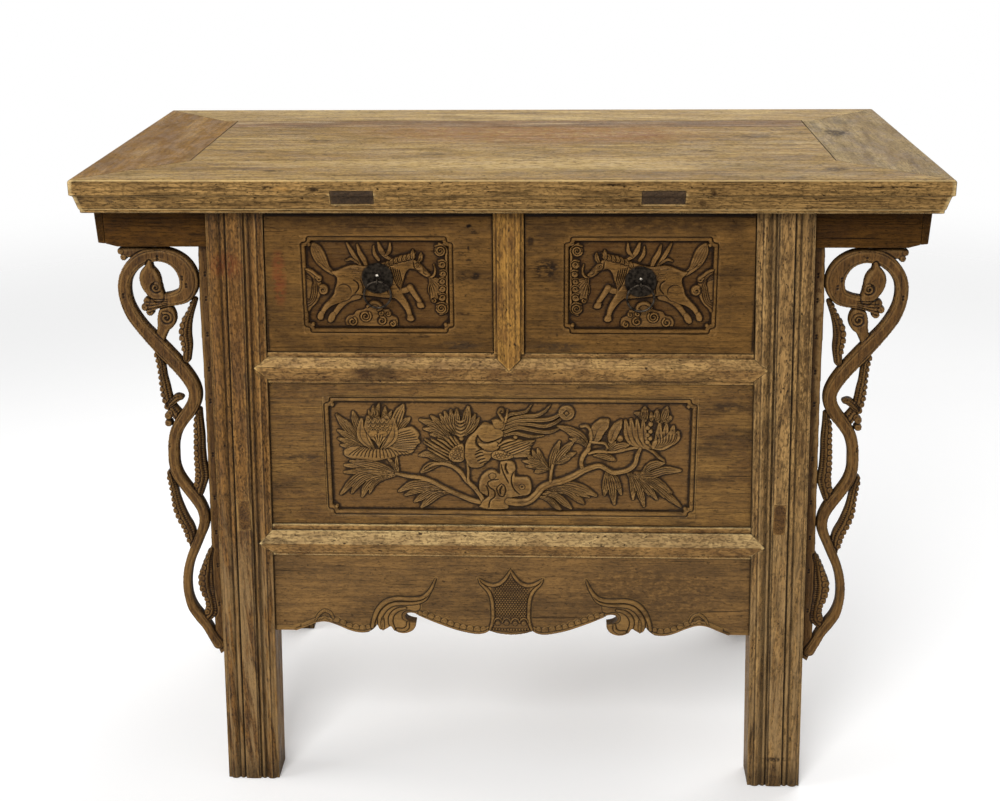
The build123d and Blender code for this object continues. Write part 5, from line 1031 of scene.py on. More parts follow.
garden.mass([(-81, 503), (-77, 509), (-70, 514), (-63, 515), (-60, 506), (-60, 496), (-65, 490), (-76, 490),
             (-82, 496)], 4.4, dome=1.0, moat=1.4, sink=1.2)
for x, z in ((-71.5, 511), (-66, 510), (-75, 506), (-70, 506), (-65, 505), (-77.5, 500), (-72.5, 501),
             (-67.5, 500), (-76, 494.5), (-70.5, 495.5), (-65.5, 494.5)):
    garden.mound(x, z, 2.0, 4.6, 0.9, moat=1.0, sink=1.3)
# phoenix: tail and wing feathers, body, breast and head
for points in ([(-9, 549, 2.0), (0, 557, 2.2), (12, 559, 2.0), (22, 562, 1.8), (29, 571, 0.8)],
               [(-9, 545, 2.2), (5, 552, 2.6), (20, 555.5, 2.6), (35, 556, 2.4), (46, 562, 1.8),
                (54, 571, 0.8)],
               [(-8, 541, 2.4), (8, 548, 3.0), (25, 550, 3.0), (42, 549.5, 2.8), (56, 552, 2.6),
                (66, 557.5, 2.0)],
               [(-7, 538, 2.2), (10, 544, 2.6), (26, 544, 2.6), (45, 541, 2.6), (58, 545, 2.4),
                (67, 551, 2.0)],
               [(-8, 532, 2.4), (10, 539, 3.0), (25, 536.5, 2.8), (40, 533.5, 2.6), (55, 533.5, 2.2),
                (65, 538, 1.0)],
               [(-8, 528, 2.0), (6, 531, 2.4), (16, 529, 2.4), (30, 526, 1.9), (45, 528, 0.9)]):
    garden.band(points, 4.2, 0.8, lines=2, line_depth=1.2)
garden.mound(7.5, 525.5, 3.0, 4.4, 1.2)
garden.mound(75, 560, 10.4, 3.6, 0.5)
garden.mound(75, 560, 8.2, 3.1, 0.2, moat=0.9)
for a in range(4):
    garden.score([(75 + 6.4 * math.cos(a * math.pi / 2), 560 + 6.4 * math.sin(a * math.pi / 2)),
                  (75 + 6.4 * math.cos((a + 1) * math.pi / 2), 560 + 6.4 * math.sin((a + 1) * math.pi / 2))],
                 -0.9, 0.8)
garden.mound(75, 560, 2.6, 4.0, 0.6, 0.6)
for k in range(6):
    garden.band([(-14, 508 - 2.2 * k, 1.6), (8, 515 - 3.2 * k, 2.3), (24, 518.5 - 3.8 * k, 2.1),
                 (32 - 2.4 * k, 520 - 4.2 * k, 0.9)], 4.2, 0.6, groove=0.5, moat=1.0)
garden.mass([(-61, 497), (-60, 512), (-57, 521), (-53, 527), (-47, 533), (-40, 541), (-33, 546), (-25, 543.5),
             (-17, 544), (-12, 539), (-8.5, 532), (-9.5, 525), (-14, 514), (-18, 505), (-24, 498), (-30, 490),
             (-38, 483), (-49, 481), (-56, 485)], 4.9, dome=1.8, reach=6, moat=2.0, sink=1.6)
garden.mass([(-42, 519), (-36, 517), (-30, 517), (-23, 520), (-17, 519), (-14, 512), (-18, 507.5),
             (-27, 505.5), (-36, 508), (-42, 513)], 5.0, dome=1.2, moat=1.8, sink=1.9)
garden.score([(-9, 526), (-18, 521.5), (-28, 518), (-36, 519), (-41, 524), (-43, 528)], 1.8, 1.1)
garden.score([(-43, 526), (-44.5, 520), (-43.5, 514), (-38, 509)], 1.9, 1.7)
for x, z in ((-45, 505), (-46, 501), (-45, 496.5), (-43, 492), (-40, 488), (-35, 486.5), (-30, 489.5)):
    garden.score([(x, z), (x + 4.5, z + 2.2), (x + 9.5, z + 3.4)], 1.5, 0.9)
for points in ([(-15, 514), (-7, 519), (1, 521.5), (7, 521.5)],
               [(-12, 512), (0, 516.5), (10, 520), (16, 520.5)], [(-9, 509), (4, 514), (14, 518), (21, 519)],
               [(-6, 506), (8, 512), (18, 516), (25, 518.5)], [(-2, 504), (10, 509), (21, 513.5), (29, 518)],
               [(1, 501), (11, 505.5), (20, 509.5), (26, 513.5)]):
    garden.band([(x, z, half) for (x, z), half in zip(points, (1.5, 1.9, 1.8, 0.9))], 4.6, 1.3, moat=1.0)
garden.mass([(-25, 502), (-19, 506.5), (-11, 506.5), (-2, 503), (4.5, 499.5), (2, 495.5), (-8, 493),
             (-18, 493.5), (-24, 497)], 5.0, dome=0.9, moat=1.5, sink=1.4)
for x, z in ((-17.5, 503), (-12, 501), (-7, 502.5), (-19.5, 498.5), (-14.5, 497), (-9.5, 496.5),
             (-4.5, 498.5), (0, 498), (-2, 501.5)):
    garden.mound(x, z, 1.9, 5.2, 0.8, moat=0.9, sink=1.3)
garden.curl(-11, 562, 4.8, 1.0, 200, -1, 1.5, 4.2)
garden.band([(-15, 560, 1.6), (-11, 553, 2.0), (-8, 545, 2.2), (-10, 538, 2.4)], 4.3, 0.8, groove=0.5)
garden.band([(-3, 563, 1.2), (-4, 555, 1.6), (-6, 547, 1.8)], 4.0, 0.8)
garden.mass([(-24, 549), (-15, 551), (-8, 545), (-11, 538), (-20, 539)], 5.0, 0.9, moat=1.2)
garden.mound(-16, 546, 1.4, 5.2, 0.3, 0.7, moat=0.8)
# rock with its holes
garden.mass([(-42, 424), (-37, 434), (-31, 440), (-41, 447), (-41.5, 460), (-37, 471), (-29, 477.5),
             (-21, 478), (-14, 473), (-13.5, 484), (-12, 491), (-3, 492.5), (5, 489), (7.5, 480), (7, 469),
             (23, 468), (28, 460), (28.5, 449), (24, 442.5), (12, 440.5), (1, 438), (-3.5, 432), (-3.5, 422),
             (-30, 421)], 4.2, dome=1.2, moat=2.0, sink=1.2, steps=3)
garden.mass([(-29, 471), (-24, 474.5), (-19, 472), (-20, 467), (-26, 465)], 4.6, dome=1.0, moat=1.3, sink=1.6)
garden.mound(16, 454.5, 3.9, 4.6, 0.3, 2.6, moat=1.3, sink=1.4)
for points in ([(-29, 424), (-27, 434), (-21, 440), (-21, 448), (-28, 454), (-30, 460), (-25, 463.5),
                (-16, 465)],
               [(-35, 436), (-29.5, 441), (-29.5, 449), (-32, 456)],
               [(7, 478), (2.5, 471), (2, 460), (6, 450), (13, 443)],
               [(-12, 487), (-10, 478), (-6, 468), (-2, 460)],
               [(-12, 459), (-18, 452), (-15, 442), (-9, 440.5), (-6, 449), (-8, 456), (-12, 459)]):
    garden.score(points, 1.3, 0.9)
for points in ([(-5, 487.5), (-6, 481), (-3, 474)], [(-11, 455), (-13.5, 449), (-13, 443.5)]):
    garden.score(points, 1.9, 1.4)
# the great stem and the right half
garden.fan((52, 480), [(37, 508), (30, 506), (22, 502), (18, 491), (22, 484), (34, 475)],
           4.4, 3.2, bow=0.10, **PETAL)
for points, w in (([(54, 474), (58, 497), (66, 519)], 4.8), ([(58, 486), (68, 502), (84, 519)], 5.2),
                  ([(64, 492), (75, 498), (87, 503)], 3.8), ([(60, 488), (70, 491), (80, 496)], 3.0),
                  ([(45, 450), (70, 457), (95, 452), (115, 442)], 6.4),
                  ([(48, 447), (75, 448), (90, 438), (99, 430)], 5.0),
                  ([(44, 444), (60, 442), (72, 432), (82, 423)], 5.0),
                  ([(38, 440), (52, 436), (61, 427), (68, 421)], 4.2),
                  ([(56, 449), (74, 453), (92, 446), (106, 440)], 4.2),
                  ([(130, 479), (129, 462), (127, 443)], 4.8), ([(133, 479), (141, 465), (149, 444)], 4.6),
                  ([(131, 479), (136, 458), (140, 430)], 5.6),
                  ([(156, 476), (163, 468), (165, 455), (165, 437)], 4.4),
                  ([(162, 474), (172, 455), (180, 427)], 5.0), ([(165, 473), (178, 458), (186, 444)], 4.0),
                  ([(168, 471), (183, 456), (197, 437)], 4.8), ([(170, 471), (191, 459), (206, 441)], 4.4),
                  ([(170, 472), (193, 465), (216, 447)], 4.8),
                  ([(172, 470), (197, 455), (213, 441), (229, 427)], 5.0),
                  ([(166, 475), (186, 473), (206, 479), (227, 479)], 5.8),
                  ([(177, 476), (189, 486), (205, 490)], 5.4),
                  ([(104, 511), (97, 524), (83, 534), (64, 541)], 5.4),
                  ([(104, 511), (95, 521), (86, 527), (77, 532)], 3.4),
                  ([(103, 512), (94, 520), (80, 523)], 3.6), ([(112, 500), (125, 500), (140, 493)], 5.0),
                  ([(132, 506), (143, 512), (158, 516)], 5.6), ([(128, 508), (134, 515), (140, 519)], 4.0)):
    garden.leaf(points, w, 3.5, **PETAL)
garden.leaf([(111, 521), (117, 537), (129, 549)], 9.6, 3.8, ribs=4.2, shape=(0.5, 0.95, 1, 0.9, 0.3))
garden.leaf([(134, 521), (138, 534), (147, 549)], 6.6, 3.8, ribs=4.2, shape=(0.5, 0.95, 1, 0.9, 0.3))
garden.mound(146, 524, 4.4, 3.4, 0.9)
garden.band([(98, 478, 3.0), (95, 489, 2.6), (98, 500, 2.8), (104, 508, 3.0), (105, 514, 2.4)],
            4.2, 1.0, groove=0.5)
garden.band([(105, 503, 1.8), (118, 506, 2.0), (135, 505, 1.8), (148, 507, 1.8), (158, 510, 2.0),
             (170, 512, 2.2), (182, 511, 2.2), (191, 505, 2.0), (198, 498, 1.8), (205, 493, 1.2)], 4.2, 0.9)
garden.band([(105, 514, 2.0), (108, 524, 2.0), (107, 535, 2.0), (102, 541.5, 2.0), (94, 541, 1.4)], 4.3, 0.9)
garden.band([(107, 520, 1.8), (117, 518.5, 1.8), (126, 517, 1.6), (130, 511, 1.2)], 4.3, 0.9)
for tip, w in (((153, 549), 5.0), ((160, 551), 5.0), ((168, 550), 4.8), ((176, 549), 4.6), ((222, 533), 6.0),
               ((216, 541), 5.4), ((207, 544), 5.0), ((198, 545), 4.8)):
    garden.leaf([(188, 511), (188 + (tip[0] - 188) * 0.8, 522), tip], w, 3.6, cup=1.0,
                shape=(0.3, 0.9, 1, 0.95, 0.4))
garden.mass([(188, 510), (201, 508), (212, 513), (219, 522), (220, 532), (212, 536), (205, 528), (196, 524),
             (189, 520)], 4.2, dome=1.2)
for k in range(7):
    garden.score([(192 + 1.5 * k, 511), (196 + 3.2 * k, 520), (194 + 4.2 * k, 531)], 0.8, 0.7)
for k in range(6):
    garden.mound(184 + (1.8 if k % 2 else -1.8), 520 + 5 * k, 3.2, 4.6, 0.9, 0.5)
for points, w in (([(176, 550), (172, 558), (165, 560)], 3.4), ([(179, 549), (178, 559), (178, 568)], 5.0),
                  ([(196, 547), (194, 556), (194, 564)], 4.2), ([(200, 547), (204, 557), (207, 568)], 5.2),
                  ([(205, 546), (209, 552), (213, 555)], 3.6), ([(187, 549), (187, 555), (186, 561)], 3.2)):
    garden.leaf(points, w, 3.7, **PETAL)
garden.band([(-2, 433, 5.6), (12, 431, 5.4), (25, 434, 5.0), (35, 443, 4.8), (43, 453, 4.6), (55, 459, 4.4),
             (70, 463, 4.4), (85, 470, 4.2), (98, 478, 3.8), (110, 483, 3.4), (120, 485, 3.0),
             (129, 480, 2.8), (138, 475.5, 2.8), (150, 477, 2.8), (160, 481, 2.8), (167, 489, 2.8),
             (169, 499, 2.8), (173, 510, 2.4)], 4.7, 1.3, groove=0.8)
garden.band([(54, 462, 2.0), (55, 474, 2.0), (57, 486, 1.8)], 4.2, 0.9)
garden.chisel_marks(depth=0.12, size=4.0, seed=22)
worn_copy("front_carved_panel", elm_panel, arris=0.0008,
          pocket=((-PANEL_HALF_L, PANEL_FACE_Y, PANEL_LOW), (PANEL_HALF_L, PANEL_GROUND_Y, PANEL_HIGH),
                  PANEL_GROUND_Y + LET_IN + ROOM_BEHIND))
middle = garden.across // 2
for side, columns in (("left", (0, middle)), ("right", (middle, garden.across))):
    carved_piece(f"phoenix_carving_{side}_half", garden, PANEL_GROUND_Y, PANEL_GROUND_Y + LET_IN, elm_panel,
                 "carcass", columns=columns)


# ---- Apron ----
# A shaped board under the lower rail: a fish-scale shield in the middle, a curling leaf at
# each side and a beaded rim along the scalloped edge.
# Waxed, and browner to the right; the ground of the shield is darkened nearly to black.
elm_apron = waxed_elm("carved elm apron", pale="#8b6739", brown="#5f4525", dark="#140c05", rub_and_highlight="#99743f",
                      hollow="#382412", apart=False, streaky=0.6, pitted=0.7, mottled=0.9,
                      marks_at=(((190, -230, 300), (150, 12, 60), "#3d2a16", 0.55),))
APRON_EDGE_Z, APRON_FACE_Y = 236.5, -229.5
APRON_RUNS = (((300, 0), (285, 6.5), (270, 13), (256, 14), (240, 8.5), (222, 0), (207, -2.5), (195, 0.5),
               (186.5, 10)),
              ((186.5, 10), (182.5, 4.5), (178, 1.5)), ((178, 1.5), (172, 5), (166.5, 8.5)),
              ((166.5, 8.5), (160, 0), (148, -2.5), (136, 2.5), (132, 13.5)),
              ((132, 13.5), (140, 15), (146.5, 20.5), (145, 26.5), (138, 28.5), (125, 24), (100, 12.5),
               (75, 3), (50, -2.5), (38, -1.5), (30, 2.5)),
              ((30, 2.5), (18, -1.5), (0, -3.5)))
edge = Carving(-330, 0.6, 226, 342, pitch=0.72, ground=-0.35)
rim = np.vstack([edge.bend([(-x, APRON_EDGE_Z + rise) for x, rise in run], 8) for run in APRON_RUNS])
outline = np.vstack([[(-330, APRON_EDGE_Z)], rim, [(2, 233), (2, 345), (-332, 345), (-332, APRON_EDGE_Z)]])
apron_in = inside_outline(outline, edge.x, edge.z, below=300)
on_rim = (edge.x < -197) | ((edge.x > -128) & (edge.x < -28))
band_top = 1.5 - 0.9 * np.clip((apron_in - 5.2) / 1.2, 0, 1) - 0.5 * np.exp(-((apron_in - 3.9) / 0.7) ** 2)
edge.height = np.where(on_rim & (apron_in < 6.4) & (edge.x > -292), band_top, edge.height)
rise_at = ([30, 38, 50, 75, 100, 125, 196, 207, 222, 240, 256],
           [2.5, -1.5, -2.5, 3, 12.5, 24, 0.5, -2.5, 0, 8.5, 14])
for x, size in ((-243, 4.6), (-234, 4.8), (-225.5, 4.6), (-216, 4.6), (-206.5, 4.8), (-198.5, 3.6),
                (-119, 4.0), (-111, 4.6), (-102, 4.8), (-93, 4.8), (-84, 4.6), (-75, 4.4), (-66.5, 4.6),
                (-57, 5.0), (-47, 5.0), (-38, 4.2)):
    base = APRON_EDGE_Z + np.interp(-x, *rise_at) + 6.2
    edge.mound(x, base, size, 1.5, 0.5, moat=1.1, sink=0.8)
    for turn in range(20, 161, 35):
        a = math.radians(turn)
        edge.mound(x + 0.66 * size * math.cos(a), base + 0.66 * size * math.sin(a),
                   0.9, 2.0, 0.4, moat=0.5, sink=0.5)
edge.band([(-272, 252, 1.2), (-267, 261, 1.8), (-259, 267, 2.2), (-251, 264, 2.0), (-247, 256, 1.4)],
          1.9, 0.7, beads=2.6)
edge.band([(-266, 252, 0.9), (-260, 258, 1.2), (-253, 254, 0.9)], 1.6, 0.6)
edge.band([(-300, 237.5, 1.4), (-285, 243.5, 1.5), (-270, 250, 1.5), (-256, 251, 1.5), (-240, 245.6, 1.5),
           (-222, 238, 1.5), (-207, 235.6, 1.5), (-196, 238.5, 1.3)], 1.9, 0.8)
edge.band([(-128, 263, 1.2), (-118, 257.5, 1.4), (-100, 250.5, 1.5), (-75, 241.2, 1.5), (-50, 235.8, 1.5),
           (-38, 236.6, 1.5), (-31, 240, 1.3)], 1.9, 0.8)
# the curling leaf in three strands, its dark root and the hook under it
edge.mass([(-192, 246), (-188, 260), (-182, 272), (-172, 281), (-158, 284), (-140, 283), (-128, 281),
           (-126, 272), (-133, 268), (-143, 270), (-151, 264), (-151, 256), (-146, 252), (-138, 251),
           (-132, 249), (-136, 239), (-148, 233), (-160, 236), (-166, 244), (-172, 241), (-178, 237),
           (-182, 240), (-186, 246)], 1.5, dome=0.6, moat=1.8, sink=1.0)
for points in ([(-182, 239, 2.2), (-182, 256, 3.0), (-175, 270, 3.2), (-163, 278.5, 3.0), (-148, 280, 2.6),
                (-132, 281, 2.2), (-119, 286, 1.8), (-110, 299, 1.0)],
               [(-193, 243, 2.0), (-190, 256, 2.6), (-184, 270, 3.0), (-173, 282, 3.2), (-158, 287, 3.0),
                (-142, 286.5, 2.8), (-128, 287.5, 2.6), (-118, 292, 2.4), (-110, 302, 2.0), (-103, 318, 0.8)],
               [(-163, 239, 2.4), (-167, 251, 3.0), (-165, 262, 3.0), (-157, 270, 2.6), (-146, 273, 1.8)],
               [(-158, 240, 2.0), (-150, 239, 2.4), (-144, 243, 2.2), (-143, 250, 1.6)]):
    edge.band(points, 2.9, 1.3, groove=0.3, moat=1.8, sink=1.8)
edge.band([(-178.5, 237.5, 0.8), (-178.5, 247, 2.6), (-178, 258, 1.2)], 2.6, 0.9, groove=0.9)
# the shield with its scales, lotus rim and beads
edge.mass([(0, 331), (-6, 321), (-13, 313), (-22, 309), (-30, 310), (-38, 314.5), (-43, 318), (-42, 313),
           (-35, 305), (-29, 297), (-26, 285), (-25, 270), (-25, 255), (-27, 246), (-30, 240), (-18, 235),
           (0, 233), (6, 236), (6, 320)], 1.2, dome=0.4)
SCALES_LOW, SCALE_PITCH_X, SCALE_PITCH_Z = 259, 3.8, 2.9
scaled = ((edge.x > -23.5) & (edge.z > SCALES_LOW) & (edge.z < 312 + 10 * np.exp(-(edge.x / 9) ** 2))
          & (edge.inside > 2.5))
row = np.floor((edge.z - SCALES_LOW) / SCALE_PITCH_Z)
half_scale = SCALE_PITCH_X / 2
in_scale_x = ((edge.x + np.where(row % 2 == 0, 0, half_scale)) % SCALE_PITCH_X - half_scale) / half_scale
in_scale_z = (edge.z - SCALES_LOW - row * SCALE_PITCH_Z - 0.2) / SCALE_PITCH_Z
scale_top = 0.3 + 1.5 * np.clip(1 - (in_scale_x ** 2 + in_scale_z ** 2), 0, 1) ** 0.7
edge.height = np.where(scaled, scale_top, edge.height)
edge.shade[(edge.x > -27) & (edge.z < 325) & (edge.inside > 0) & (edge.z > 236)] = 0.75
for points in ([(-44, 319, 0.8), (-38, 314, 1.8), (-30, 310, 2.1), (-22, 309, 2.2), (-13, 313, 2.2),
                (-6, 321, 2.0), (0, 331.5, 1.2)],
               [(-44, 319, 0.7), (-41, 312, 1.6), (-34, 304.5, 2.1), (-28.5, 296, 2.3), (-25.5, 284, 2.4),
                (-24.6, 268, 2.4), (-25, 254, 2.3), (-29, 241, 1.6)]):
    edge.band(points, 2.8, 1.2, moat=1.8, sink=1.6)
for x in (-18, -6):
    edge.band([(x - 6, 252, 1.0), (x - 4, 257, 1.3), (x, 259, 1.4), (x + 4, 257, 1.3), (x + 6, 252, 1.0)],
              2.4, 0.8)
    edge.mound(x, 251, 3.6, 2.2, 0.8, 0.5)
for x in np.arange(-24, 1, 4.0):
    edge.mound(x, 243.5 - 2.2 * math.cos(x / 26), 1.9, 2.2, 0.8, moat=0.8)
edge.band([(-28, 240.5, 1.0), (-18, 237.6, 1.2), (0, 235.6, 1.2)], 2.0, 0.7, moat=0.8)
edge.chisel_marks(depth=0.06, size=4.0, seed=31)
edge.height = np.maximum(edge.height, 0.12)
shown = np.minimum(apron_in, np.where(on_rim & (apron_in < 8), 9, edge.inside + 2.6))
for name, mirror in (("apron_carving_left_half", False), ("apron_carving_right_half", True)):
    carved_piece(name, edge, APRON_FACE_Y, APRON_FACE_Y + 0.6, elm_apron, "carcass", keep=shown,
                 deep=0.02, mirror=mirror)
worn_copy("front_apron", elm_apron, arris=0.0008)


# ---- Aprons and boards under the overhang ----
# A short apron runs out from each leg to a board that closes each end of the top; they are
# of thin elm, tongued into the top's frame, dark with wax, and darker still with the top's shade
# painted into their colour.
SHADED_WOOD = {"pale": "#5b3c15", "brown": "#3d260e", "dark": "#0e0702", "rub_and_highlight": "#6f4d24", "polish": 0.05,
               "streaky": 0.8, "pitted": 0.7}
# Red-brown and dull, darkened by painted shade, with little grain to be seen; one with the grain along, one
# with it across.
elm_shaded = waxed_elm("dark waxed elm under the top, darkened by painted shade", **SHADED_WOOD)
elm_end_board = waxed_elm("dark waxed elm end boards, darkened by painted shade", **SHADED_WOOD, along="y")
for place in ("front_left", "front_right", "back_left", "back_right"):
    worn_copy(f"{place}_overhang_apron", elm_shaded, arris=0.001)
for side in ("left", "right"):
    worn_copy(f"{side}_end_board", elm_end_board, arris=0.001)


# ---- Spandrels ----
# Openwork scrolls beside the front legs, each sawn from one board and carved into a
# winding stem with beaded leaves, a curled bud and a scroll.
SPANDREL_TOP, SPANDREL_T, SPANDREL_BACK_Y = 784.0, 14.0, -204.5
SPANDREL_STEM = (
    (82, 82, 8), (64, 75, 8.5), (49.5, 72.5, 9.5), (36.5, 67, 11), (30.5, 55, 12.5), (31, 41, 13),
    (38.5, 27, 12), (52, 17, 10.5), (69, 13.5, 9.5), (87, 17, 9.5), (101.5, 27, 9), (112, 42, 8.5),
    (115.5, 59, 8.5), (113, 78, 8.5), (105.5, 96, 9), (94, 113, 9), (79.5, 130, 10),
    (63, 149, 10.5), (47.5, 167, 10), (35, 185, 9.5), (29, 200, 9), (30, 214, 9), (36.5, 227, 9),
    (47, 241, 8.5), (56.5, 257, 8), (61, 274, 7.5), (62, 291, 7.5), (61.5, 307, 7.5),
    (57, 322, 7.5), (47.5, 338, 7.5), (36, 354, 8), (27.5, 369, 7.5), (24, 383, 7.5),
    (25.5, 397, 7), (32, 414, 6.5), (39.5, 432, 6.5), (46.5, 450, 6), (51, 469, 6), (52.5, 488, 6),
    (51, 505, 6), (46, 522, 7), (36.5, 537, 7.5), (27, 551, 7), (19.5, 566, 7), (12, 579, 8),
)
SPANDREL_BUD = ((80, 22, 2.5), (82, 33, 6.5), (81.5, 45, 13.5), (78.5, 57, 12.5), (70.5, 70, 8))
SPANDREL_VOLUTE = ((62, 83, 7), (61.5, 99, 12.5), (67, 113, 8), (72.5, 129, 6))
SPANDREL_CREST = ((82, 10, 6), (98, 11, 8), (113, 10, 6.5))
SPANDREL_LEAVES = (((24, 75, 4), (30.5, 92, 5), (36, 107, 7.5), (38, 122, 8.5), (36.5, 137, 7.5),
                    (38, 156, 6)),
                   ((75, 144, 7), (72.5, 164, 6), (71, 180, 6), (69, 194, 7), (67, 208, 7.5), (63, 222, 8),
                    (53.5, 236, 9)),
                   ((24.5, 228, 4), (26, 244, 6.5), (25.5, 264, 7.5), (26, 284, 8), (25.5, 304, 8.5),
                    (24, 322, 9.5), (27.5, 337, 8.5), (30, 348, 7)),
                   ((68, 320, 6), (64.5, 339, 6), (62, 356, 6.5), (58.5, 372, 8), (53, 387, 8.5),
                    (46.5, 400, 8.5), (43, 414, 8), (41.5, 428, 6)),
                   ((15.5, 432, 3.5), (20, 446, 5.5), (22.5, 462, 8.5), (25, 479, 11), (23.5, 496, 10.5),
                    (20, 512, 8), (19.5, 528, 9), (26.5, 538, 8)))
SPANDREL_BARB = ((64, 220, 5), (54, 211, 6), (48, 210, 4))


LEG_SIDE_AT_TOP, LEG_SPREAD, LEG_HEIGHT = 384, 25, 836


def leg_side(z):
    """How far the leg's outer side stands from the middle at a height."""
    return LEG_SIDE_AT_TOP + LEG_SPREAD * (LEG_HEIGHT - z) / LEG_HEIGHT


def beside_leg(points):
    """Places points given as (out from the leg's side, down from the spandrel's top, half width)."""
    return [(leg_side(SPANDREL_TOP - down) + out, SPANDREL_TOP - down, half) for out, down, half in points]


scroll = Carving(384, 514, 190, SPANDREL_TOP, pitch=0.9, ground=4.0)
scroll.mass([(leg_side(SPANDREL_TOP) - 6, 790), (leg_side(SPANDREL_TOP) + 16, 790), (leg_side(600) + 16, 600),
             (leg_side(400) + 16, 400), (leg_side(206) + 16, 206), (leg_side(196) + 2, 194),
             (leg_side(196) - 6, 192), (leg_side(400) - 6, 400), (leg_side(600) - 6, 600)],
            11.0, dome=1.0, reach=2.0, moat=0.01, sink=0, steps=2)
for number, leaf in enumerate(SPANDREL_LEAVES + (SPANDREL_BARB,)):
    line = scroll.bend(beside_leg(leaf))
    part, inside, share, side, length = scroll.along(line, line[:, 2] * 0.86)
    top = (11.6 - 1.6 * np.abs(side) ** 3 + 1.3 * np.exp(-(side / 0.2) ** 2)
           - 1.2 * np.exp(-((np.abs(side) - 0.42) / 0.13) ** 2))
    hatch = np.clip(-side * 3, 0, 1) * (0.5 + 0.5 * np.cos(2 * math.pi * share * length / 3.2))
    scroll.set_in(part, inside, top - 1.4 * hatch, 1.6, 1.6, floor=4)
    if number == len(SPANDREL_LEAVES):
        continue
    way = np.gradient(line[:, :2], axis=0)
    way = way / np.maximum(np.hypot(way[:, 0], way[:, 1]), 1e-6)[:, None]
    run = np.concatenate([[0], np.cumsum(np.hypot(*np.diff(line[:, :2], axis=0).T))])
    for place in np.arange(6, run[-1] - 6, 8.0):
        px, pz, half, wx, wz = (np.interp(place, run, column) for column in (*line.T, *way.T))
        scroll.mound(px - wz * half * 0.62, pz + wx * half * 0.62, max(half * 0.52, 2.4),
                     12.4, 1.3, 1.4, moat=1.4, sink=1.4)
for shape, top_height in ((SPANDREL_VOLUTE, 12.6), (SPANDREL_CREST, 12.0), (SPANDREL_STEM, 13.9),
                          (SPANDREL_BUD, 13.4)):
    line = scroll.bend(beside_leg(shape))
    part, inside, _share, side, _length = scroll.along(line, line[:, 2])
    top = top_height - 2.0 * np.abs(side) ** 3.4
    if shape is SPANDREL_STEM:
        top = top - 0.9 * np.exp(-((np.abs(side) - 0.66) / 0.07) ** 2) - 0.35 * np.exp(-(side / 0.5) ** 2)
    scroll.set_in(part, inside, top, 1.8, 2.2, floor=4)
for out, down, radius, start, hand in ((73, 57, 8.0, 90, 1), (61, 98, 9.5, 60, 1)):
    scroll.curl(leg_side(SPANDREL_TOP - down) + out, SPANDREL_TOP - down, radius, 1.4, start, hand, 2.0, 13.8,
                1.0)
for x, z, r in ((474, 708, 5.2), (477.5, 699.5, 5.2), (471.5, 693, 5.2), (503, 775, 4.5), (500, 767, 4.5),
                (459, 548, 5.2), (459.5, 538, 5.2)):
    scroll.mound(x, z, r, 13.0, 1.4, 1.2)
for k in range(5):
    scroll.score([(478 - k, 712 - 5 * k), (462, 711 - 3.6 * k), (446, 711 - 2.4 * k)], 1.1, 0.8)
for x, z in ((504, 716), (420, 730), (425, 740), (455, 767), (460, 507)) + tuple(
        (leg_side(z) + 8, z) for z in (745, 712, 663, 615, 570, 493, 430, 378, 328, 268)):
    for dz in (-1.8, 1.8):
        under = scroll.height[np.searchsorted(scroll.zs, z), np.searchsorted(scroll.xs, x)]
        scroll.mound(x, z + dz, 1.3, under - 1.3, 0.2, moat=0.6, sink=0.6)
scroll.height = np.minimum(scroll.height, SPANDREL_T)
EDGE_ROUND = 2.6
round_edge = np.clip(EDGE_ROUND - scroll.inside, 0, EDGE_ROUND)
scroll.height -= EDGE_ROUND - np.sqrt(np.maximum(EDGE_ROUND ** 2 - round_edge ** 2, 0))
scroll.chisel_marks(depth=0.12, size=5.0, seed=41)
scroll.height = np.clip(scroll.height, 1.0, SPANDREL_T)
cut_line = np.minimum(scroll.inside, scroll.x - leg_side(scroll.z))
SPANDREL_MARKS = tuple(((side * (x + 4), -216, z), (9, 20, 60), tint, share)
                       for side, tint, share in ((-1, "#7c5d37", 0.30), (1, "#a88452", 0.70))
                       for x, z in ((396, 700), (400, 620), (404, 540), (407, 460)))
# Dark wax, rubbed brown with a painted highlight along the stems; the strips by the legs are painted paler,
# the right one much more.
elm_spandrel = waxed_elm("carved elm openwork", pale="#775327", brown="#4c3216", dark="#120904",
                         rub_and_highlight="#8d6a3a", hollow="#2a190b", along="z", apart=False, streaky=0.8, pitted=0.8,
                         marks_at=SPANDREL_MARKS)
for side, mirror in (("left", True), ("right", False)):
    piece = carved_piece(f"{side}_openwork_scroll", scroll, SPANDREL_BACK_Y, SPANDREL_BACK_Y, elm_spandrel,
                         "carcass", keep=cut_line, deep=SPANDREL_T, mirror=mirror)
    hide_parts(f"{side}_spandrel")


# ---- Boards, battens and runners inside ----
# The drawers' sides, backs and bottoms, the three runners, and the compartment's floor on its
# battens: thin elm from the plane, never waxed, which keep the shape of their solids.
BARE_WOOD = {"pale": "#a98a5c", "brown": "#80643d", "dark": "#3a2814"}
# Dry and pale, with its grain across the table, and the same with its grain from front to back.
elm_inside = waxed_elm("bare elm inside", **BARE_WOOD)
elm_inside_deep = waxed_elm("bare elm inside, front to back", **BARE_WOOD, along="y")
for name, node in frame["nodes"].items():
    if not node.hide_render and "pull" not in name:
        node.data.materials.clear()
        node.data.materials.append(elm_inside_deep if "side" in name or "runner" in name else elm_inside)


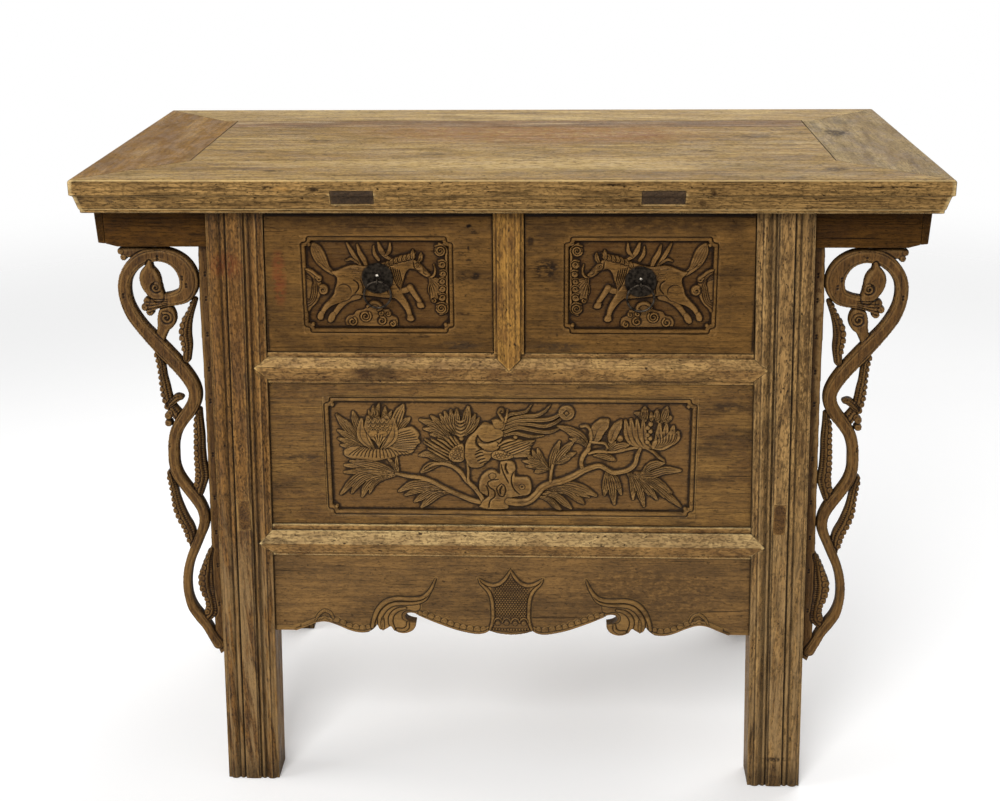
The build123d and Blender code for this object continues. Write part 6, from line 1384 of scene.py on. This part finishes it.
# ---- Iron pulls ----
# Each drawer has a forged plate with a small boss, a split pin through the front and a ring that
# hangs in the pin's eye; the plate is black with scale, and the pin and ring are rubbed by hands.
def forged_iron(name, low, high, rough):
    """Hammered iron under a thin black skin. The eye gets a dark metal with a patchy, broken sheen.
    The hammer's marks are 1 mm or less, and are drawn about 4 mm wide so that they show."""
    iron = bpy.data.materials.new(name)
    iron.use_nodes = True
    iron.node_tree.nodes.clear()
    spot = add(iron, "TexCoord")
    mottle = add(iron, "TexNoise", {"Vector": spot.outputs["Object"], "Scale": 260.0, "Detail": 4.0})
    hue = add(iron, "MapRange", {0: mottle, 1: 0.38, 2: 0.66})
    colour = add(iron, "Mix", {0: hue, 6: linear(low), 7: linear(high)}, data_type="RGBA")
    dull = add(iron, "MapRange", {0: mottle, 3: rough - 0.1, 4: rough + 0.15})
    dents = add(iron, "Bump", {"Height": mottle, "Strength": 0.6, "Distance": 0.0005})
    skin = add(iron, "BsdfPrincipled", {"Base Color": colour.outputs[2], "Metallic": 1.0, "Roughness": dull,
                                        "Normal": dents})
    add(iron, "OutputMaterial", {"Surface": skin})
    return iron


plate_iron = forged_iron("forged iron under black scale", "#14110e", "#302a23", 0.5)
ring_iron = forged_iron("forged iron rubbed by hands", "#1c1814", "#453d34", 0.42)
boss_iron = forged_iron("forged iron polished by the ring", "#6b6459", "#bdb5a8", 0.25)
BOSS_RADIUS, BOSS_SUNK, BOSS_RAISED = 0.0026, 0.0004, 0.0040
for side in ("left", "right"):
    for part, metal in (("plate", plate_iron), ("pin", ring_iron), ("ring", ring_iron)):
        node = frame["nodes"][f"{side}_pull_{part}"]
        node.data.materials.clear()
        node.data.materials.append(metal)
    corners = [Vector(corner) for corner in frame["nodes"][f"{side}_pull_plate"].bound_box]
    middle = sum(corners, Vector()) / 8
    bpy.ops.object.select_all(action="DESELECT")
    bpy.ops.mesh.primitive_uv_sphere_add(segments=20, ring_count=12, radius=BOSS_RADIUS)
    boss = bpy.context.object
    boss.name = f"{side}_pull_boss"
    boss.data.transform(Matrix.Translation((middle.x, min(c.y for c in corners) - BOSS_SUNK,
                                            middle.z + BOSS_RAISED)))
    bpy.ops.object.shade_smooth()
    boss.data.materials.append(boss_iron)
    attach(boss, f"{side}_drawer")
